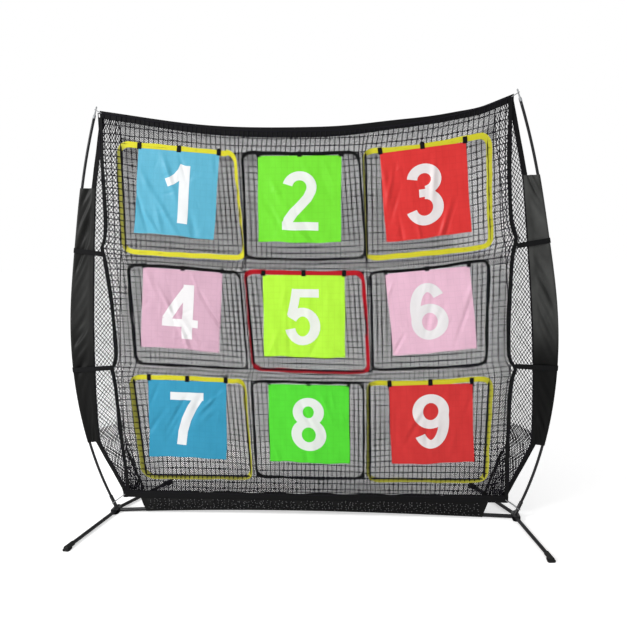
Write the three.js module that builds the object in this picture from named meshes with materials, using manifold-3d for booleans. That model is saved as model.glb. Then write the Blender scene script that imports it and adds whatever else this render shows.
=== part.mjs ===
// Nine-pocket practice net on a folding bow frame.
// Millimetres, Z up, the player stands on the -Y side.
import * as THREE from 'three';
import { mergeVertices } from 'three/addons/utils/BufferGeometryUtils.js';
import Module from 'manifold-3d';

const wasm = await Module();
wasm.setup();

// ---- Driving dimensions -------------------------------------------------------------------------
const fitGap = 0.3;             // clearance between pieces that touch on the real product

// Base tubes and the stamped hub brackets
const hubHalfSpacing = 1065;    // centre of the frame to the centre of a hub: sets every width
const crossbarDiameter = 20;
const tubeWall = 1.5;
const spigotLength = 60;        // swaged end of one crossbar half inside the other
const hubPlateThickness = 3;
const hubInnerReach = 19;       // plate beyond the pivot line, towards the middle of the frame
const legPivotOffset = 26;      // pivot pin in front of and behind the crossbar axis
const pinDiameter = 6;
const pinHeadDiameter = 12;
const pinHeadHeight = 3;
const crossbarPinInset = 10;    // rivet through the crossbar, from the hub centre

// Legs and rubber feet
const legDiameter = 19;
const legLength = 434;          // pivot to the end of the tube
const legButt = 9;              // tube behind the pivot
const frontLegSplay = 8.5;      // degrees outward from straight ahead
const rearLegSplay = 22;        // degrees inward from straight back
const legStopReach = 19;        // where the bracket web meets the opened leg, from the pivot
const footWall = 2.5;
const footGrip = 45;            // length of tube inside the rubber foot
const footFlare = 36;           // width of the sole
const footNose = 16;            // rubber beyond the end of the tube

// Glass fibre bow poles, their welded sockets and grey tips
const poleDiameter = 12;
const socketDiameter = 19;
const socketLength = 68;
const socketClearance = 0.5;
const poleFootLean = 24;        // degrees outward at the socket
const poleHeadLean = 17;        // degrees inward at the tip
const poleFootPull = 700;       // how long the pole keeps each end's direction: sets the bow
const poleHeadPull = 600;
const poleEndX = hubHalfSpacing - 2;
const poleEndZ = 2109;         // sets every height of the nets
const tipLength = 48;
const tipShankDiameter = 8;
const tipCollarDiameter = 15;
const tipCollarLength = 14;

// Net outline
const bandWidth = 45;
const bandThickness = 4;
const bandHalfLength = hubHalfSpacing - 32;
const bandSag = 119;            // the corners stand this much above the middle
const bandCurve = 2.3;          // a power over 2 bends it more near the corners
const hangSkew = 0.0246;        // how much lower the nets hang on the right than on the left
const middleSag = 17;           // slack of the target net between its upper and middle rows
const middleSagReach = 600;     // how far across and how far up that slack fades
const middleSagRise = 220;
const bandMidZ = poleEndZ - bandSag + 1;
const netThickness = 3;
const bindingWidth = 24;
const hemLow = 84;
const hemHeight = 38;
const netLap = 14;              // net sewn over the webbing band
const targetHalfWidth = bandHalfLength - 11;
const drawIn = 45;              // the side holes' outer edges hang this much further in at the hem
const eyeletSize = 12;

// Target holes
const holeRows = 3;
const holeColumns = 3;
const holeMargin = 100.5;       // net outside the outer holes
const holeBridge = 47;          // net between two holes
const columnPitch = (targetHalfWidth - holeMargin + holeBridge / 2) / (holeColumns / 2);
const topMargin = 106;          // net between the band's middle line and the top holes
const bottomMargin = 93;        // net between the hem and the bottom holes
const rowBridge = 76;           // net between two rows
const topHoleZ = bandMidZ - topMargin;
const rowPitch = (topHoleZ - hemLow - hemHeight - bottomMargin + rowBridge) / holeRows;
const holeWidth = columnPitch - holeBridge; // between the middles of the trim ribbons
const holeHeight = rowPitch - rowBridge;
const holeCornerRadius = 55;
const drawInStart = 9;          // the net is drawn in from this far above the bottom holes
const ribbonWidth = 20;
const ribbonThickness = 2;
const strandWidth = 9;

// Numbered flags and their tabs
const flagWidth = 420;
const flagHeight = 424;
const flagThickness = 0.8;
const flagFold = 9;               // how far the folds stand forward
const flagShifts = [-7, -13, -32, -14, -8, -13, -6, 13, 2]; // each flag off its hole's middle
const tabWidth = 19;
const tabDrop = 4;
const tabThickness = 1.2;

// Pocket nets, backstop net, wings
const pocketDepth = 200;
const pocketStrand = 10;
const pocketTurn = 0.72;        // where its walls turn into its back, as a share of the hole
const pocketBoxiness = 8;       // a higher power gives squarer walls
const backstopDepth = 420;
const backstopColumns = 9;
const backstopRows = 8;
const backstopBoxiness = 7;
const wingLowZ = 392;
const wingHighZ = poleEndZ - 364;
const wingClothThickness = 1.5;
const wingSleeveClearance = 2.4; // the sewn sleeve is an easy fit on the bowed pole
const wingFold = 5;
const wingLap = 20;
const edgeReachLow = 139;       // how far the backstop reaches past the target net: at the wing's foot,
const edgeReachMiddle = 106;    // between, at the wing's head and at the top
const edgeReachHigh = 81;
const edgeReachTop = 11;
const edgeTurns = [             // outer edge of the backstop: height, distance from the middle
  [hemLow, targetHalfWidth],
  [hemLow + hemHeight, targetHalfWidth],
  [wingLowZ, targetHalfWidth + edgeReachLow],
  [wingLowZ + (wingHighZ - wingLowZ) * 0.56, targetHalfWidth + edgeReachMiddle],
  [wingHighZ, targetHalfWidth + edgeReachHigh],
  [poleEndZ, targetHalfWidth + edgeReachTop],
];

// Straps, crossbar sleeve, corner tapes, elastic loops
const strapWidth = 25;
const strapThickness = 2;
const strapInset = 398;         // lower strap above the wing's foot
const strapDrop = 320;          // upper strap below the wing's head
const strapHeights = [wingLowZ + strapInset, wingHighZ - strapDrop];
const strapTurnEnd = 175;       // degrees round the pole, from its outer side
const sleeveInset = 170;        // bare crossbar at each end
const sleeveHalfLength = hubHalfSpacing - sleeveInset;
const sleeveThickness = 1.5;
const sleeveFlare = 28;         // the sleeve is this much longer at its top, each end
const sleeveRipple = 2.2;
const tapeWidth = 20;
const tapeTopZ = 350;
const tapeInset = 75;           // its foot, from the edge of the net
const elasticDiameter = 4;
const elasticClearance = 0.9;

const degrees = Math.PI / 180;
const sides = [['left', -1], ['right', 1]];

// ---- Materials ----------------------------------------------------------------------------------
const paint = (color, roughness, metalness = 0) =>
  new THREE.MeshStandardMaterial({ color, roughness, metalness, side: THREE.DoubleSide });
const steelPaint = paint(0x1a1b1d, 0.45, 0.6);
const rubber = paint(0x151515, 0.85);
const fibreglass = paint(0x222426, 0.35);
const tipPlastic = paint(0x9a9c9e, 0.5);
const webbing = paint(0x141518, 0.8);
const netting = paint(0x26262b, 0.9);
const wingCloth = paint(0x1d1e20, 0.55);
const elastic = paint(0xa9abad, 0.8);
const yellowRibbon = paint(0xd9dd3a, 0.6);
const blackRibbon = paint(0x17181a, 0.6);
const redRibbon = paint(0x6e1520, 0.6);
const flagCloth = {
  sky: paint(0x4fb4d8, 0.7), green: paint(0x3fae6a, 0.7), red: paint(0xd23a36, 0.7),
  pink: paint(0xe7a9c6, 0.7), lime: paint(0xc9dd3d, 0.7), blush: paint(0xeeb6c8, 0.7),
  blue: paint(0x3aa0cc, 0.7),
};

// ---- Geometry helpers ---------------------------------------------------------------------------
const group = new THREE.Group();
group.name = 'nine_pocket_practice_net';

function addPiece(name, geometry, material) {
  const mesh = new THREE.Mesh(geometry, material);
  mesh.name = name;
  group.add(mesh);
  return mesh;
}

function bareCopy(geometry) {
  const copy = geometry.clone();
  copy.deleteAttribute('normal');
  copy.deleteAttribute('uv');
  return mergeVertices(copy, 1e-4);
}

function toManifold(geometry) {
  const bare = bareCopy(geometry);
  return new wasm.Manifold(new wasm.Mesh({
    numProp: 3,
    vertProperties: new Float32Array(bare.attributes.position.array),
    triVerts: new Uint32Array(bare.index.array),
  }));
}

function fromManifold(solid) {
  const result = solid.getMesh();
  const geometry = new THREE.BufferGeometry();
  geometry.setAttribute('position', new THREE.BufferAttribute(new Float32Array(result.vertProperties), 3));
  geometry.setIndex(new THREE.BufferAttribute(new Uint32Array(result.triVerts), 1));
  geometry.computeVertexNormals();
  return geometry;
}

function joined(first, ...rest) {
  return fromManifold(rest.reduce((sum, next) => sum.add(toManifold(next)), toManifold(first)));
}

function cut(body, ...tools) {
  return fromManifold(tools.reduce((sum, next) => sum.subtract(toManifold(next)), toManifold(body)));
}

// A turned body about Z from [radius, height] pairs.
function turned(profile, facets = 16) {
  return new THREE.LatheGeometry(profile.map(([r, z]) => new THREE.Vector2(r, z)), facets)
    .rotateX(Math.PI / 2);
}

function tube(outerRadius, innerRadius, low, high, facets) {
  return turned([[innerRadius, low], [outerRadius, low], [outerRadius, high],
    [innerRadius, high], [innerRadius, low]], facets);
}

function rod(radius, low, high, facets) {
  return turned([[0, low], [radius, low], [radius, high], [0, high]], facets);
}

// An outline drawn on the ground, raised from low to high.
function slab(points, low, high, holes = []) {
  const shape = new THREE.Shape(points.map(([x, y]) => new THREE.Vector2(x, y)));
  shape.holes = holes.map((ring) => new THREE.Path(ring.map(([x, y]) => new THREE.Vector2(x, y))));
  return new THREE.ExtrudeGeometry(shape, { depth: high - low, bevelEnabled: false })
    .translate(0, 0, low);
}

function mirroredX(geometry) {
  const solid = bareCopy(geometry);
  solid.scale(-1, 1, 1);
  const index = solid.index.array;
  for (let i = 0; i < index.length; i += 3) {
    [index[i + 1], index[i + 2]] = [index[i + 2], index[i + 1]];
  }
  solid.computeVertexNormals();
  return solid;
}

const forSide = (geometry, side) => (side < 0 ? mirroredX(geometry) : geometry);

// A sheet of cloth or netting. The surface is sampled on the grid lines us x vs and given a
// thickness; cells for which isOpen is true are left out and get walls round them.
function sheetSolid({ us, vs, surface, thickness, isOpen = () => false }) {
  const step = 1e-3;
  const columns = us.length;
  const rows = vs.length;
  const positions = [];
  const layer = [[], []];
  for (let j = 0; j < rows; j += 1) {
    for (let i = 0; i < columns; i += 1) {
      const point = surface(us[i], vs[j]);
      const alongU = surface(us[i] + step, vs[j]).sub(surface(us[i] - step, vs[j]));
      const alongV = surface(us[i], vs[j] + step).sub(surface(us[i], vs[j] - step));
      const offset = alongU.cross(alongV).normalize().multiplyScalar(thickness / 2);
      [1, -1].forEach((sign, face) => {
        layer[face].push(positions.length / 3);
        positions.push(...point.clone().addScaledVector(offset, sign).toArray());
      });
    }
  }
  const at = (face, i, j) => layer[face][j * columns + i];
  const middle = (list, k) => (list[k] + list[k + 1]) / 2;
  const filled = (i, j) => i >= 0 && j >= 0 && i < columns - 1 && j < rows - 1
    && !isOpen(middle(us, i), middle(vs, j));
  const index = [];
  const quad = (a, b, c, d) => index.push(a, b, c, a, c, d);
  const wall = (i0, j0, i1, j1) => quad(at(1, i0, j0), at(1, i1, j1), at(0, i1, j1), at(0, i0, j0));
  for (let j = 0; j < rows - 1; j += 1) {
    for (let i = 0; i < columns - 1; i += 1) {
      if (!filled(i, j)) continue;
      quad(at(0, i, j), at(0, i + 1, j), at(0, i + 1, j + 1), at(0, i, j + 1));
      quad(at(1, i, j), at(1, i, j + 1), at(1, i + 1, j + 1), at(1, i + 1, j));
      if (!filled(i, j - 1)) wall(i, j, i + 1, j);
      if (!filled(i + 1, j)) wall(i + 1, j, i + 1, j + 1);
      if (!filled(i, j + 1)) wall(i + 1, j + 1, i, j + 1);
      if (!filled(i - 1, j)) wall(i, j + 1, i, j);
    }
  }
  const geometry = new THREE.BufferGeometry();
  geometry.setAttribute('position', new THREE.Float32BufferAttribute(positions, 3));
  geometry.setIndex(index);
  const solid = mergeVertices(geometry.toNonIndexed(), 1e-5);
  solid.computeVertexNormals();
  return solid;
}

const evenly = (from, to, parts) =>
  Array.from({ length: parts + 1 }, (_, k) => from + ((to - from) * k) / parts);

// Grid lines of a run of open gaps with strands of one width between them.
const gapLines = (from, to, strandMiddles, strand) =>
  [from, ...strandMiddles.flatMap((middle) => [middle - strand / 2, middle + strand / 2]), to];

const uniqueSorted = (values) => [...values].sort((a, b) => a - b)
  .filter((value, k, list) => k === 0 || value - list[k - 1] > 1e-5);

// ---- The bow poles' line ------------------------------------------------------------------------
const hubTop = hubPlateThickness * 2 + fitGap * 2 + crossbarDiameter;
const tubeAxisZ = hubPlateThickness + fitGap + crossbarDiameter / 2;
const lean = (angle) => new THREE.Vector3(Math.sin(angle * degrees), 0, Math.cos(angle * degrees));
const poleSeat = new THREE.Vector3(hubHalfSpacing, 0, hubTop + 3);
const socketMouth = poleSeat.clone().addScaledVector(lean(poleFootLean), socketLength);
const poleEnd = new THREE.Vector3(poleEndX, 0, poleEndZ);
const poleBow = new THREE.CubicBezierCurve3(
  socketMouth,
  socketMouth.clone().addScaledVector(lean(poleFootLean), poleFootPull),
  poleEnd.clone().addScaledVector(lean(-poleHeadLean), -poleHeadPull),
  poleEnd,
);

// The pole's centre and direction at a height above its socket.
function poleAt(height) {
  let low = 0;
  let high = 1;
  for (let k = 0; k < 40; k += 1) {
    const mid = (low + high) / 2;
    if (poleBow.getPoint(mid).z < height) low = mid;
    else high = mid;
  }
  return { point: poleBow.getPoint(low), along: poleBow.getTangent(low) };
}

// ---- How the nets hang --------------------------------------------------------------------------
const bandLow = bandMidZ - bandWidth / 2;
const skew = (x) => -hangSkew * x * (1 - (x / bandHalfLength) ** 4);
const sagRise = (x) => bandSag * Math.abs(x / bandHalfLength) ** bandCurve;
const bandRise = (x) => sagRise(x) + skew(x);

// The rows of holes follow the sagging band at the top and straighten towards the hem.
function hang(x, z) {
  const share = z / bandLow;
  const follow = Math.max(0, share * (0.72 + 0.28 * share ** 20));
  const below = Math.max(0, 1 - z / (hemLow + hemHeight + bottomMargin + holeHeight + drawInStart));
  const outermost = columnPitch * (holeColumns - 1) / 2 + holeWidth / 2;
  const pull = Math.min(Math.abs(x) / outermost,
    Math.max(0, targetHalfWidth - Math.abs(x)) / (targetHalfWidth - outermost));
  const level = THREE.MathUtils.smoothstep(z, hemLow + hemHeight, wingLowZ);
  const slackZ = topHoleZ - holeHeight - rowBridge / 2;
  const slack = middleSag
    * Math.exp(-((x / middleSagReach) ** 2) - ((z - slackZ) / middleSagRise) ** 2);
  return {
    x: x - Math.sign(x) * drawIn * below * pull,
    z: z + sagRise(x) * follow + skew(x) * level - slack,
  };
}

const layerBehind = bandThickness / 2 + fitGap + netThickness / 2;
const targetY = -layerBehind;
const backstopY = layerBehind;
const targetFront = targetY - netThickness / 2;
const ribbonFront = targetFront - fitGap - ribbonThickness;

const hemHigh = hemLow + hemHeight;
const hemEye = { x: targetHalfWidth - bindingWidth / 2, z: hemLow + hemHeight / 2 };
const netHigh = bandLow + netLap;

const holes = [];
for (let row = 0; row < holeRows; row += 1) {
  for (let column = 0; column < holeColumns; column += 1) {
    const x = (column - (holeColumns - 1) / 2) * columnPitch;
    const top = topHoleZ - row * rowPitch;
    holes.push({ number: row * holeColumns + column + 1, row, column, x, top, low: top - holeHeight });
  }
}

// ---- Base: crossbar, hubs, legs, feet -----------------------------------------------------------
const crossbarRadius = crossbarDiameter / 2;
const crossbarBore = crossbarRadius - tubeWall;
const crossbarEnd = hubHalfSpacing + crossbarPinInset / 2;
const pinBore = pinDiameter / 2 + fitGap;

function crossPinHole(x) {
  return rod(pinBore, -crossbarDiameter, crossbarDiameter, 12).translate(x, 0, tubeAxisZ);
}

const halfTube = tube(crossbarRadius, crossbarBore, 0, crossbarEnd, 16)
  .rotateY(Math.PI / 2)
  .translate(fitGap / 2, 0, tubeAxisZ);
const crossbarRivetX = hubHalfSpacing - crossbarPinInset;
const rightTube = cut(halfTube, crossPinHole(crossbarRivetX));
const spigotRadius = crossbarBore - fitGap;
const spigot = turned([
  [spigotRadius - tubeWall, -spigotLength], [spigotRadius, -spigotLength],
  [spigotRadius, spigotLength / 2], [crossbarBore + tubeWall / 3, spigotLength / 2],
  [crossbarBore + tubeWall / 3, spigotLength * 0.7], [spigotRadius - tubeWall, spigotLength * 0.7],
  [spigotRadius - tubeWall, -spigotLength],
], 16);
const spigotInPlace = spigot.clone().rotateY(-Math.PI / 2).translate(0, 0, tubeAxisZ);
addPiece('crossbar_right', rightTube, steelPaint);
addPiece('crossbar_left', joined(mirroredX(rightTube), spigotInPlace), steelPaint);

// Plan of the right hub, from its centre. The web runs outside the two pivots and its ends
// turn in to stop the legs where they stand open.
const legRadius = legDiameter / 2;
const buttSwing = Math.hypot(legButt, legRadius) + 4 * fitGap;
const legDirection = {
  front: new THREE.Vector2(Math.sin(frontLegSplay * degrees), -Math.cos(frontLegSplay * degrees)),
  rear: new THREE.Vector2(-Math.sin(rearLegSplay * degrees), Math.cos(rearLegSplay * degrees)),
};
const legPivot = {
  front: new THREE.Vector2(0, -legPivotOffset),
  rear: new THREE.Vector2(0, legPivotOffset),
};

function stopPoint(which, extra) {
  const along = legDirection[which];
  const outward = new THREE.Vector2(Math.abs(along.y), Math.abs(along.x));
  return legPivot[which].clone()
    .addScaledVector(along, legStopReach)
    .addScaledVector(outward, legRadius + fitGap + extra);
}

const webLine = (extra) => [
  stopPoint('front', extra),
  new THREE.Vector2(buttSwing + extra, -legPivotOffset - 6),
  new THREE.Vector2(buttSwing + extra, legPivotOffset + 2),
  stopPoint('rear', extra),
].map((p) => [p.x, p.y]);
const webOutline = [...webLine(0), ...webLine(hubPlateThickness).reverse()];
const plateNose = legPivotOffset + legRadius + 2;
const plateOutline = [
  ...webLine(hubPlateThickness),
  [-hubInnerReach + 8, plateNose], [-hubInnerReach, plateNose - 8],
  [-hubInnerReach, -plateNose + 8], [-hubInnerReach + 8, -plateNose],
];
const upperPlateLow = hubTop - hubPlateThickness;
const pinPlaces = [[0, -legPivotOffset], [0, legPivotOffset], [-crossbarPinInset, 0]];
const hubPins = pinPlaces.map(([x, y]) => turned([
  [0, hubPlateThickness / 2], [pinDiameter / 2, hubPlateThickness / 2],
  [pinDiameter / 2, hubTop - 1], [pinHeadDiameter / 2, hubTop - 1],
  [pinHeadDiameter / 2, hubTop + pinHeadHeight * 0.4],
  [pinHeadDiameter / 3, hubTop + pinHeadHeight], [0, hubTop + pinHeadHeight],
], 10).translate(x, y, 0));

const socketOuter = socketDiameter / 2;
const socketBore = poleDiameter / 2 + socketClearance;
const seatRun = (hubTop - 1 - poleSeat.z) / Math.cos(poleFootLean * degrees);
const placeSocket = (geometry) => geometry
  .rotateY(poleFootLean * degrees)
  .translate(poleSeat.x - hubHalfSpacing, 0, poleSeat.z);
const socketBody = placeSocket(rod(socketOuter, seatRun - socketOuter, socketLength, 16));
const socketCut = placeSocket(rod(socketBore, -fitGap, socketLength + 1, 16));
const belowPlate = slab([[-80, -80], [80, -80], [80, 80], [-80, 80]], -80, upperPlateLow + 1);
const hub = cut(
  joined(
    slab(plateOutline, 0, hubPlateThickness),
    slab(plateOutline, upperPlateLow, hubTop),
    slab(webOutline, hubPlateThickness - 0.5, upperPlateLow + 0.5),
    ...hubPins,
    cut(socketBody, belowPlate),
  ),
  socketCut,
);
for (const [name, side] of sides) {
  addPiece(`hub_${name}`, forSide(hub, side), steelPaint).position.x = side * hubHalfSpacing;
}

// A leg lies along +X from its pivot. Its far end is open and carries the rubber foot.
const legBody = cut(
  tube(legRadius, legRadius - tubeWall, -legButt, legLength, 14).rotateY(Math.PI / 2),
  rod(pinBore, -legDiameter, legDiameter, 12),
);

// The rubber foot grips the tube and flares into a flat nose on the ground.
const footInner = legRadius + fitGap;
const footOuter = footInner + footWall;
const footSocket = tube(footOuter, footInner, legLength - footGrip, legLength + fitGap, 14);
const footCollar = rod(footOuter, legLength + fitGap, legLength + footNose, 14);
const soleOutline = [
  [legLength - footGrip * 0.45, -footOuter], [legLength + footNose * 0.5, -footFlare / 2],
  [legLength + footNose, -footFlare / 2], [legLength + footNose + 6, -footFlare / 3],
  [legLength + footNose + 6, footFlare / 3], [legLength + footNose, footFlare / 2],
  [legLength + footNose * 0.5, footFlare / 2], [legLength - footGrip * 0.45, footOuter],
];
const groundBelowAxis = tubeAxisZ;
const footTread = cut(
  slab(soleOutline, -groundBelowAxis, -footInner * 0.55),
  rod(footInner, legLength - footGrip - 1, legLength + fitGap, 14).rotateY(Math.PI / 2),
);
const underGround = slab([[0, -60], [legLength * 2, -60], [legLength * 2, 60], [0, 60]],
  -groundBelowAxis - 60, -groundBelowAxis);
const foot = cut(
  joined(
    footSocket.rotateY(Math.PI / 2),
    footCollar.rotateY(Math.PI / 2),
    footTread,
  ),
  underGround,
);

for (const [name, side] of sides) {
  for (const which of ['front', 'rear']) {
    const direction = legDirection[which];
    const turn = Math.atan2(direction.y, side * direction.x);
    for (const [piece, geometry, material] of [['leg', legBody, steelPaint], ['foot', foot, rubber]]) {
      const mesh = addPiece(`${piece}_${which}_${name}`, geometry, material);
      mesh.position.set(side * hubHalfSpacing, legPivot[which].y, tubeAxisZ);
      mesh.rotation.z = turn;
    }
  }
}

// ---- Bow poles and tips -------------------------------------------------------------------------
const polePath = new THREE.CurvePath();
polePath.add(new THREE.LineCurve3(poleSeat.clone(), socketMouth.clone()));
polePath.add(poleBow);
const poleSection = new THREE.Shape(
  new THREE.Path().absarc(0, 0, poleDiameter / 2, 0, Math.PI * 2).getPoints(4).slice(0, -1),
);
const pole = new THREE.ExtrudeGeometry(poleSection, { steps: 30, extrudePath: polePath });

// The tip has a collar over the pole's end and a necked shank that holds the elastic.
const tipBore = poleDiameter / 2 + socketClearance;
const tipNeck = tipShankDiameter / 2 - 1;
const neckLow = tipLength * 0.5;
const neckHigh = tipLength * 0.72;
const tipBody = turned([
  [0, fitGap], [tipBore, fitGap], [tipBore, -tipCollarLength],
  [tipCollarDiameter / 2, -tipCollarLength], [tipCollarDiameter / 2, 2],
  [tipShankDiameter / 2, 8], [tipShankDiameter / 2, neckLow - 2], [tipNeck, neckLow],
  [tipNeck, neckHigh], [tipShankDiameter / 2, neckHigh + 2], [tipShankDiameter / 2, tipLength - 3],
  [tipShankDiameter / 4, tipLength], [0, tipLength],
], 14).rotateY(-poleHeadLean * degrees).translate(poleEndX, 0, poleEndZ);

for (const [name, side] of sides) {
  addPiece(`pole_${name}`, forSide(pole, side), fibreglass);
  addPiece(`pole_tip_${name}`, forSide(tipBody, side), tipPlastic);
}

// ---- Top band -----------------------------------------------------------------------------------
const bandEyeX = bandHalfLength - bindingWidth / 2;
const bandEye = { x: bandEyeX, z: bandMidZ + bandWidth / 4 + bandRise(bandEyeX) };
function eyeletTool(x, z) {
  return rod(eyeletSize / 2, -netThickness * 3, netThickness * 3, 10).rotateX(Math.PI / 2)
    .translate(x, 0, z);
}

// Punches the same eyelet into both ends of a sheet that stands near the plane of the poles.
function withEyelets(sheet, { x, z }) {
  return cut(sheet, eyeletTool(x, z), eyeletTool(-x, z));
}

const band = sheetSolid({
  us: evenly(-bandHalfLength, bandHalfLength, 14),
  vs: [bandLow, bandLow + bandWidth],
  thickness: bandThickness,
  surface: (x, z) => new THREE.Vector3(x, 0, z + bandRise(x)),
});
addPiece('top_band', withEyelets(band, bandEye), webbing);

// ---- Target net: a hanging grid with nine holes -------------------------------------------------
const halfHoleX = holeWidth / 2;
const halfRibbon = ribbonWidth / 2;
const netEdge = targetHalfWidth - bindingWidth;
const holeEdges = (middle, half) => [-1, 1].flatMap((side) => [
  middle + side * (half - halfRibbon), middle + side * (half + halfRibbon),
]);
const strandEdges = (middle) => [middle - strandWidth / 2, middle + strandWidth / 2];
const columnMiddles = [...new Set(holes.map((hole) => hole.x))];
const rowMiddles = [...new Set(holes.map((hole) => (hole.top + hole.low) / 2))];
const nearEdge = (value, middles, half) =>
  middles.some((middle) => Math.abs(Math.abs(value - middle) - half) < halfRibbon);
const onStrand = (value, middles) =>
  middles.some((middle) => Math.abs(value - middle) < strandWidth / 2);

function targetIsOpen(x, z) {
  const hole = holes.find((each) => Math.abs(x - each.x) < halfHoleX + halfRibbon
    && Math.abs(z - (each.top + each.low) / 2) < holeHeight / 2 + halfRibbon);
  if (hole) {
    return Math.abs(x - hole.x) < halfHoleX - halfRibbon
      && Math.abs(z - (hole.top + hole.low) / 2) < holeHeight / 2 - halfRibbon;
  }
  if (Math.abs(x) > netEdge || z < hemHigh || z > netHigh - netLap) return false;
  return !nearEdge(x, columnMiddles, halfHoleX) && !nearEdge(z, rowMiddles, holeHeight / 2)
    && !onStrand(x, columnMiddles) && !onStrand(z, rowMiddles);
}

const targetNet = sheetSolid({
  us: uniqueSorted([
    ...columnMiddles.flatMap((x) => [...holeEdges(x, halfHoleX), ...strandEdges(x)]),
    ...[-1, 1].flatMap((side) => [side * targetHalfWidth, side * netEdge]),
  ]),
  vs: uniqueSorted([
    ...rowMiddles.flatMap((z) => [...holeEdges(z, holeHeight / 2), ...strandEdges(z)]),
    hemLow, hemHigh, netHigh - netLap, netHigh,
  ]),
  thickness: netThickness,
  surface: (x, z) => {
    const hung = hang(x, z);
    return new THREE.Vector3(hung.x, targetY, hung.z);
  },
  isOpen: targetIsOpen,
});
addPiece('target_net', withEyelets(targetNet, hemEye), netting);

// ---- Backstop net, bagging away behind ----------------------------------------------------------
function edgeX(z) {
  const next = Math.max(1, edgeTurns.findIndex(([height]) => height >= z));
  const [z0, x0] = edgeTurns[next - 1];
  const [z1, x1] = edgeTurns[next];
  return x0 + ((x1 - x0) * (z - z0)) / (z1 - z0);
}

const bag = (value, power) => 1 - Math.min(1, Math.abs(value)) ** power;
const backstopEdge = 0.978;     // inner edge of the side binding as a share of the half width
const backstopTop = netHigh - netLap;

function backstopSurface(u, z) {
  const x0 = u * bandHalfLength;
  const lifted = z + bandRise(x0) * Math.max(0, (z - hemHigh) / (backstopTop - hemHigh));
  const down = (2 * (z - hemHigh)) / (backstopTop - hemHigh) - 1;
  const depth = backstopDepth * bag(u / backstopEdge, backstopBoxiness) * bag(down, backstopBoxiness);
  return new THREE.Vector3(u * edgeX(lifted), backstopY + depth, lifted);
}

const backstopColumnLines = gapLines(-backstopEdge, backstopEdge,
  evenly(-backstopEdge, backstopEdge, backstopColumns).slice(1, -1), strandWidth / bandHalfLength);
const backstopRowLines = gapLines(hemHigh, backstopTop,
  evenly(hemHigh, backstopTop, backstopRows).slice(1, -1), strandWidth);
const withinGap = (value, lines) => {
  const k = lines.findIndex((line, i) => value > line && value < lines[i + 1]);
  return k >= 0 && k % 2 === 0;
};
const backstop = sheetSolid({
  us: [-1, ...backstopColumnLines, 1],
  vs: [hemLow, ...backstopRowLines, netHigh],
  thickness: netThickness,
  surface: backstopSurface,
  isOpen: (u, z) => withinGap(u, backstopColumnLines) && withinGap(z, backstopRowLines),
});
addPiece('backstop_net', withEyelets(backstop, hemEye), netting);

// ---- Pocket nets behind the holes ---------------------------------------------------------------
const pocketRimY = targetY + netThickness / 2 + fitGap + netThickness / 2;

function pocketNet(hole) {
  const middleZ = (hole.top + hole.low) / 2;
  const halfX = halfHoleX + halfRibbon;
  const halfZ = holeHeight / 2 + halfRibbon;
  const rimX = 1 - ribbonWidth / halfX;
  const rimZ = 1 - ribbonWidth / halfZ;
  const strandMiddles = [-pocketTurn, 0, pocketTurn];
  const columnLines = gapLines(-rimX, rimX, strandMiddles, pocketStrand / halfX);
  const rowLines = gapLines(-rimZ, rimZ, strandMiddles, pocketStrand / halfZ);
  return sheetSolid({
    us: [-1, ...columnLines, 1],
    vs: [-1, ...rowLines, 1],
    thickness: netThickness,
    surface: (u, v) => {
      const hung = hang(hole.x + u * halfX, middleZ + v * halfZ);
      const depth = pocketDepth * bag(u / rimX, pocketBoxiness) * bag(v / rimZ, pocketBoxiness);
      return new THREE.Vector3(hung.x, pocketRimY + depth, hung.z);
    },
    isOpen: (u, v) => withinGap(u, columnLines) && withinGap(v, rowLines),
  });
}

// ---- Ribbon trims with the flags' tabs, and the flags -------------------------------------------
function roundedOutline(hole, grow) {
  const radius = holeCornerRadius + grow;
  const points = [];
  [[1, 1, 0], [-1, 1, 90], [-1, -1, 180], [1, -1, 270]].forEach(([sx, sz, start]) => {
    const cx = hole.x + sx * (halfHoleX + grow - radius);
    const cz = (hole.top + hole.low) / 2 + sz * (holeHeight / 2 + grow - radius);
    evenly(start, start + 90, 2).forEach((angle) => {
      const corner = hang(cx + radius * Math.cos(angle * degrees), cz + radius * Math.sin(angle * degrees));
      points.push([corner.x, corner.z]);
    });
  });
  return points;
}

// Raised toward the player from the drawing of its front view.
function frontPanel(points, backY, thickness, holesInPanel = []) {
  return slab(points, 0, thickness, holesInPanel).rotateX(Math.PI / 2).translate(0, backY, 0);
}

const ribbonBack = targetFront - fitGap;

// Where a flag hangs: the middle of the ribbon along its hole's top, and the ribbon's slope there.
function flagPlace(hole) {
  const middle = hole.x + flagShifts[hole.number - 1];
  const left = hang(middle - flagWidth / 2, hole.top - halfRibbon);
  const right = hang(middle + flagWidth / 2, hole.top - halfRibbon);
  return {
    x: (left.x + right.x) / 2,
    z: (left.z + right.z) / 2,
    slope: Math.atan2(right.z - left.z, right.x - left.x),
  };
}

const tabHigh = ribbonWidth + tabDrop;
const tabOffsets = [-1, 0, 1].map((k) => k * (flagWidth - tabWidth * 1.6) / 2);
const tabBite = ribbonThickness / 2;

function trimRibbon(hole) {
  const ribbon = frontPanel(roundedOutline(hole, halfRibbon), ribbonBack, ribbonThickness,
    [roundedOutline(hole, -halfRibbon).reverse()]);
  const place = flagPlace(hole);
  const tabs = tabOffsets.map((offset) => frontPanel([
    [offset - tabWidth / 2, -tabDrop], [offset + tabWidth / 2, -tabDrop],
    [offset + tabWidth / 2, tabHigh], [offset - tabWidth / 2, tabHigh],
  ], ribbonFront + tabBite, tabBite + tabThickness)
    .rotateY(-place.slope).translate(place.x, 0, place.z));
  return joined(ribbon, ...tabs);
}

// A flag hangs from its top edge, and its folds open out towards the player.
const flagHang = tabDrop + flagThickness / 2 + fitGap;
const flagY = ribbonFront - tabThickness / 2;

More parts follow.
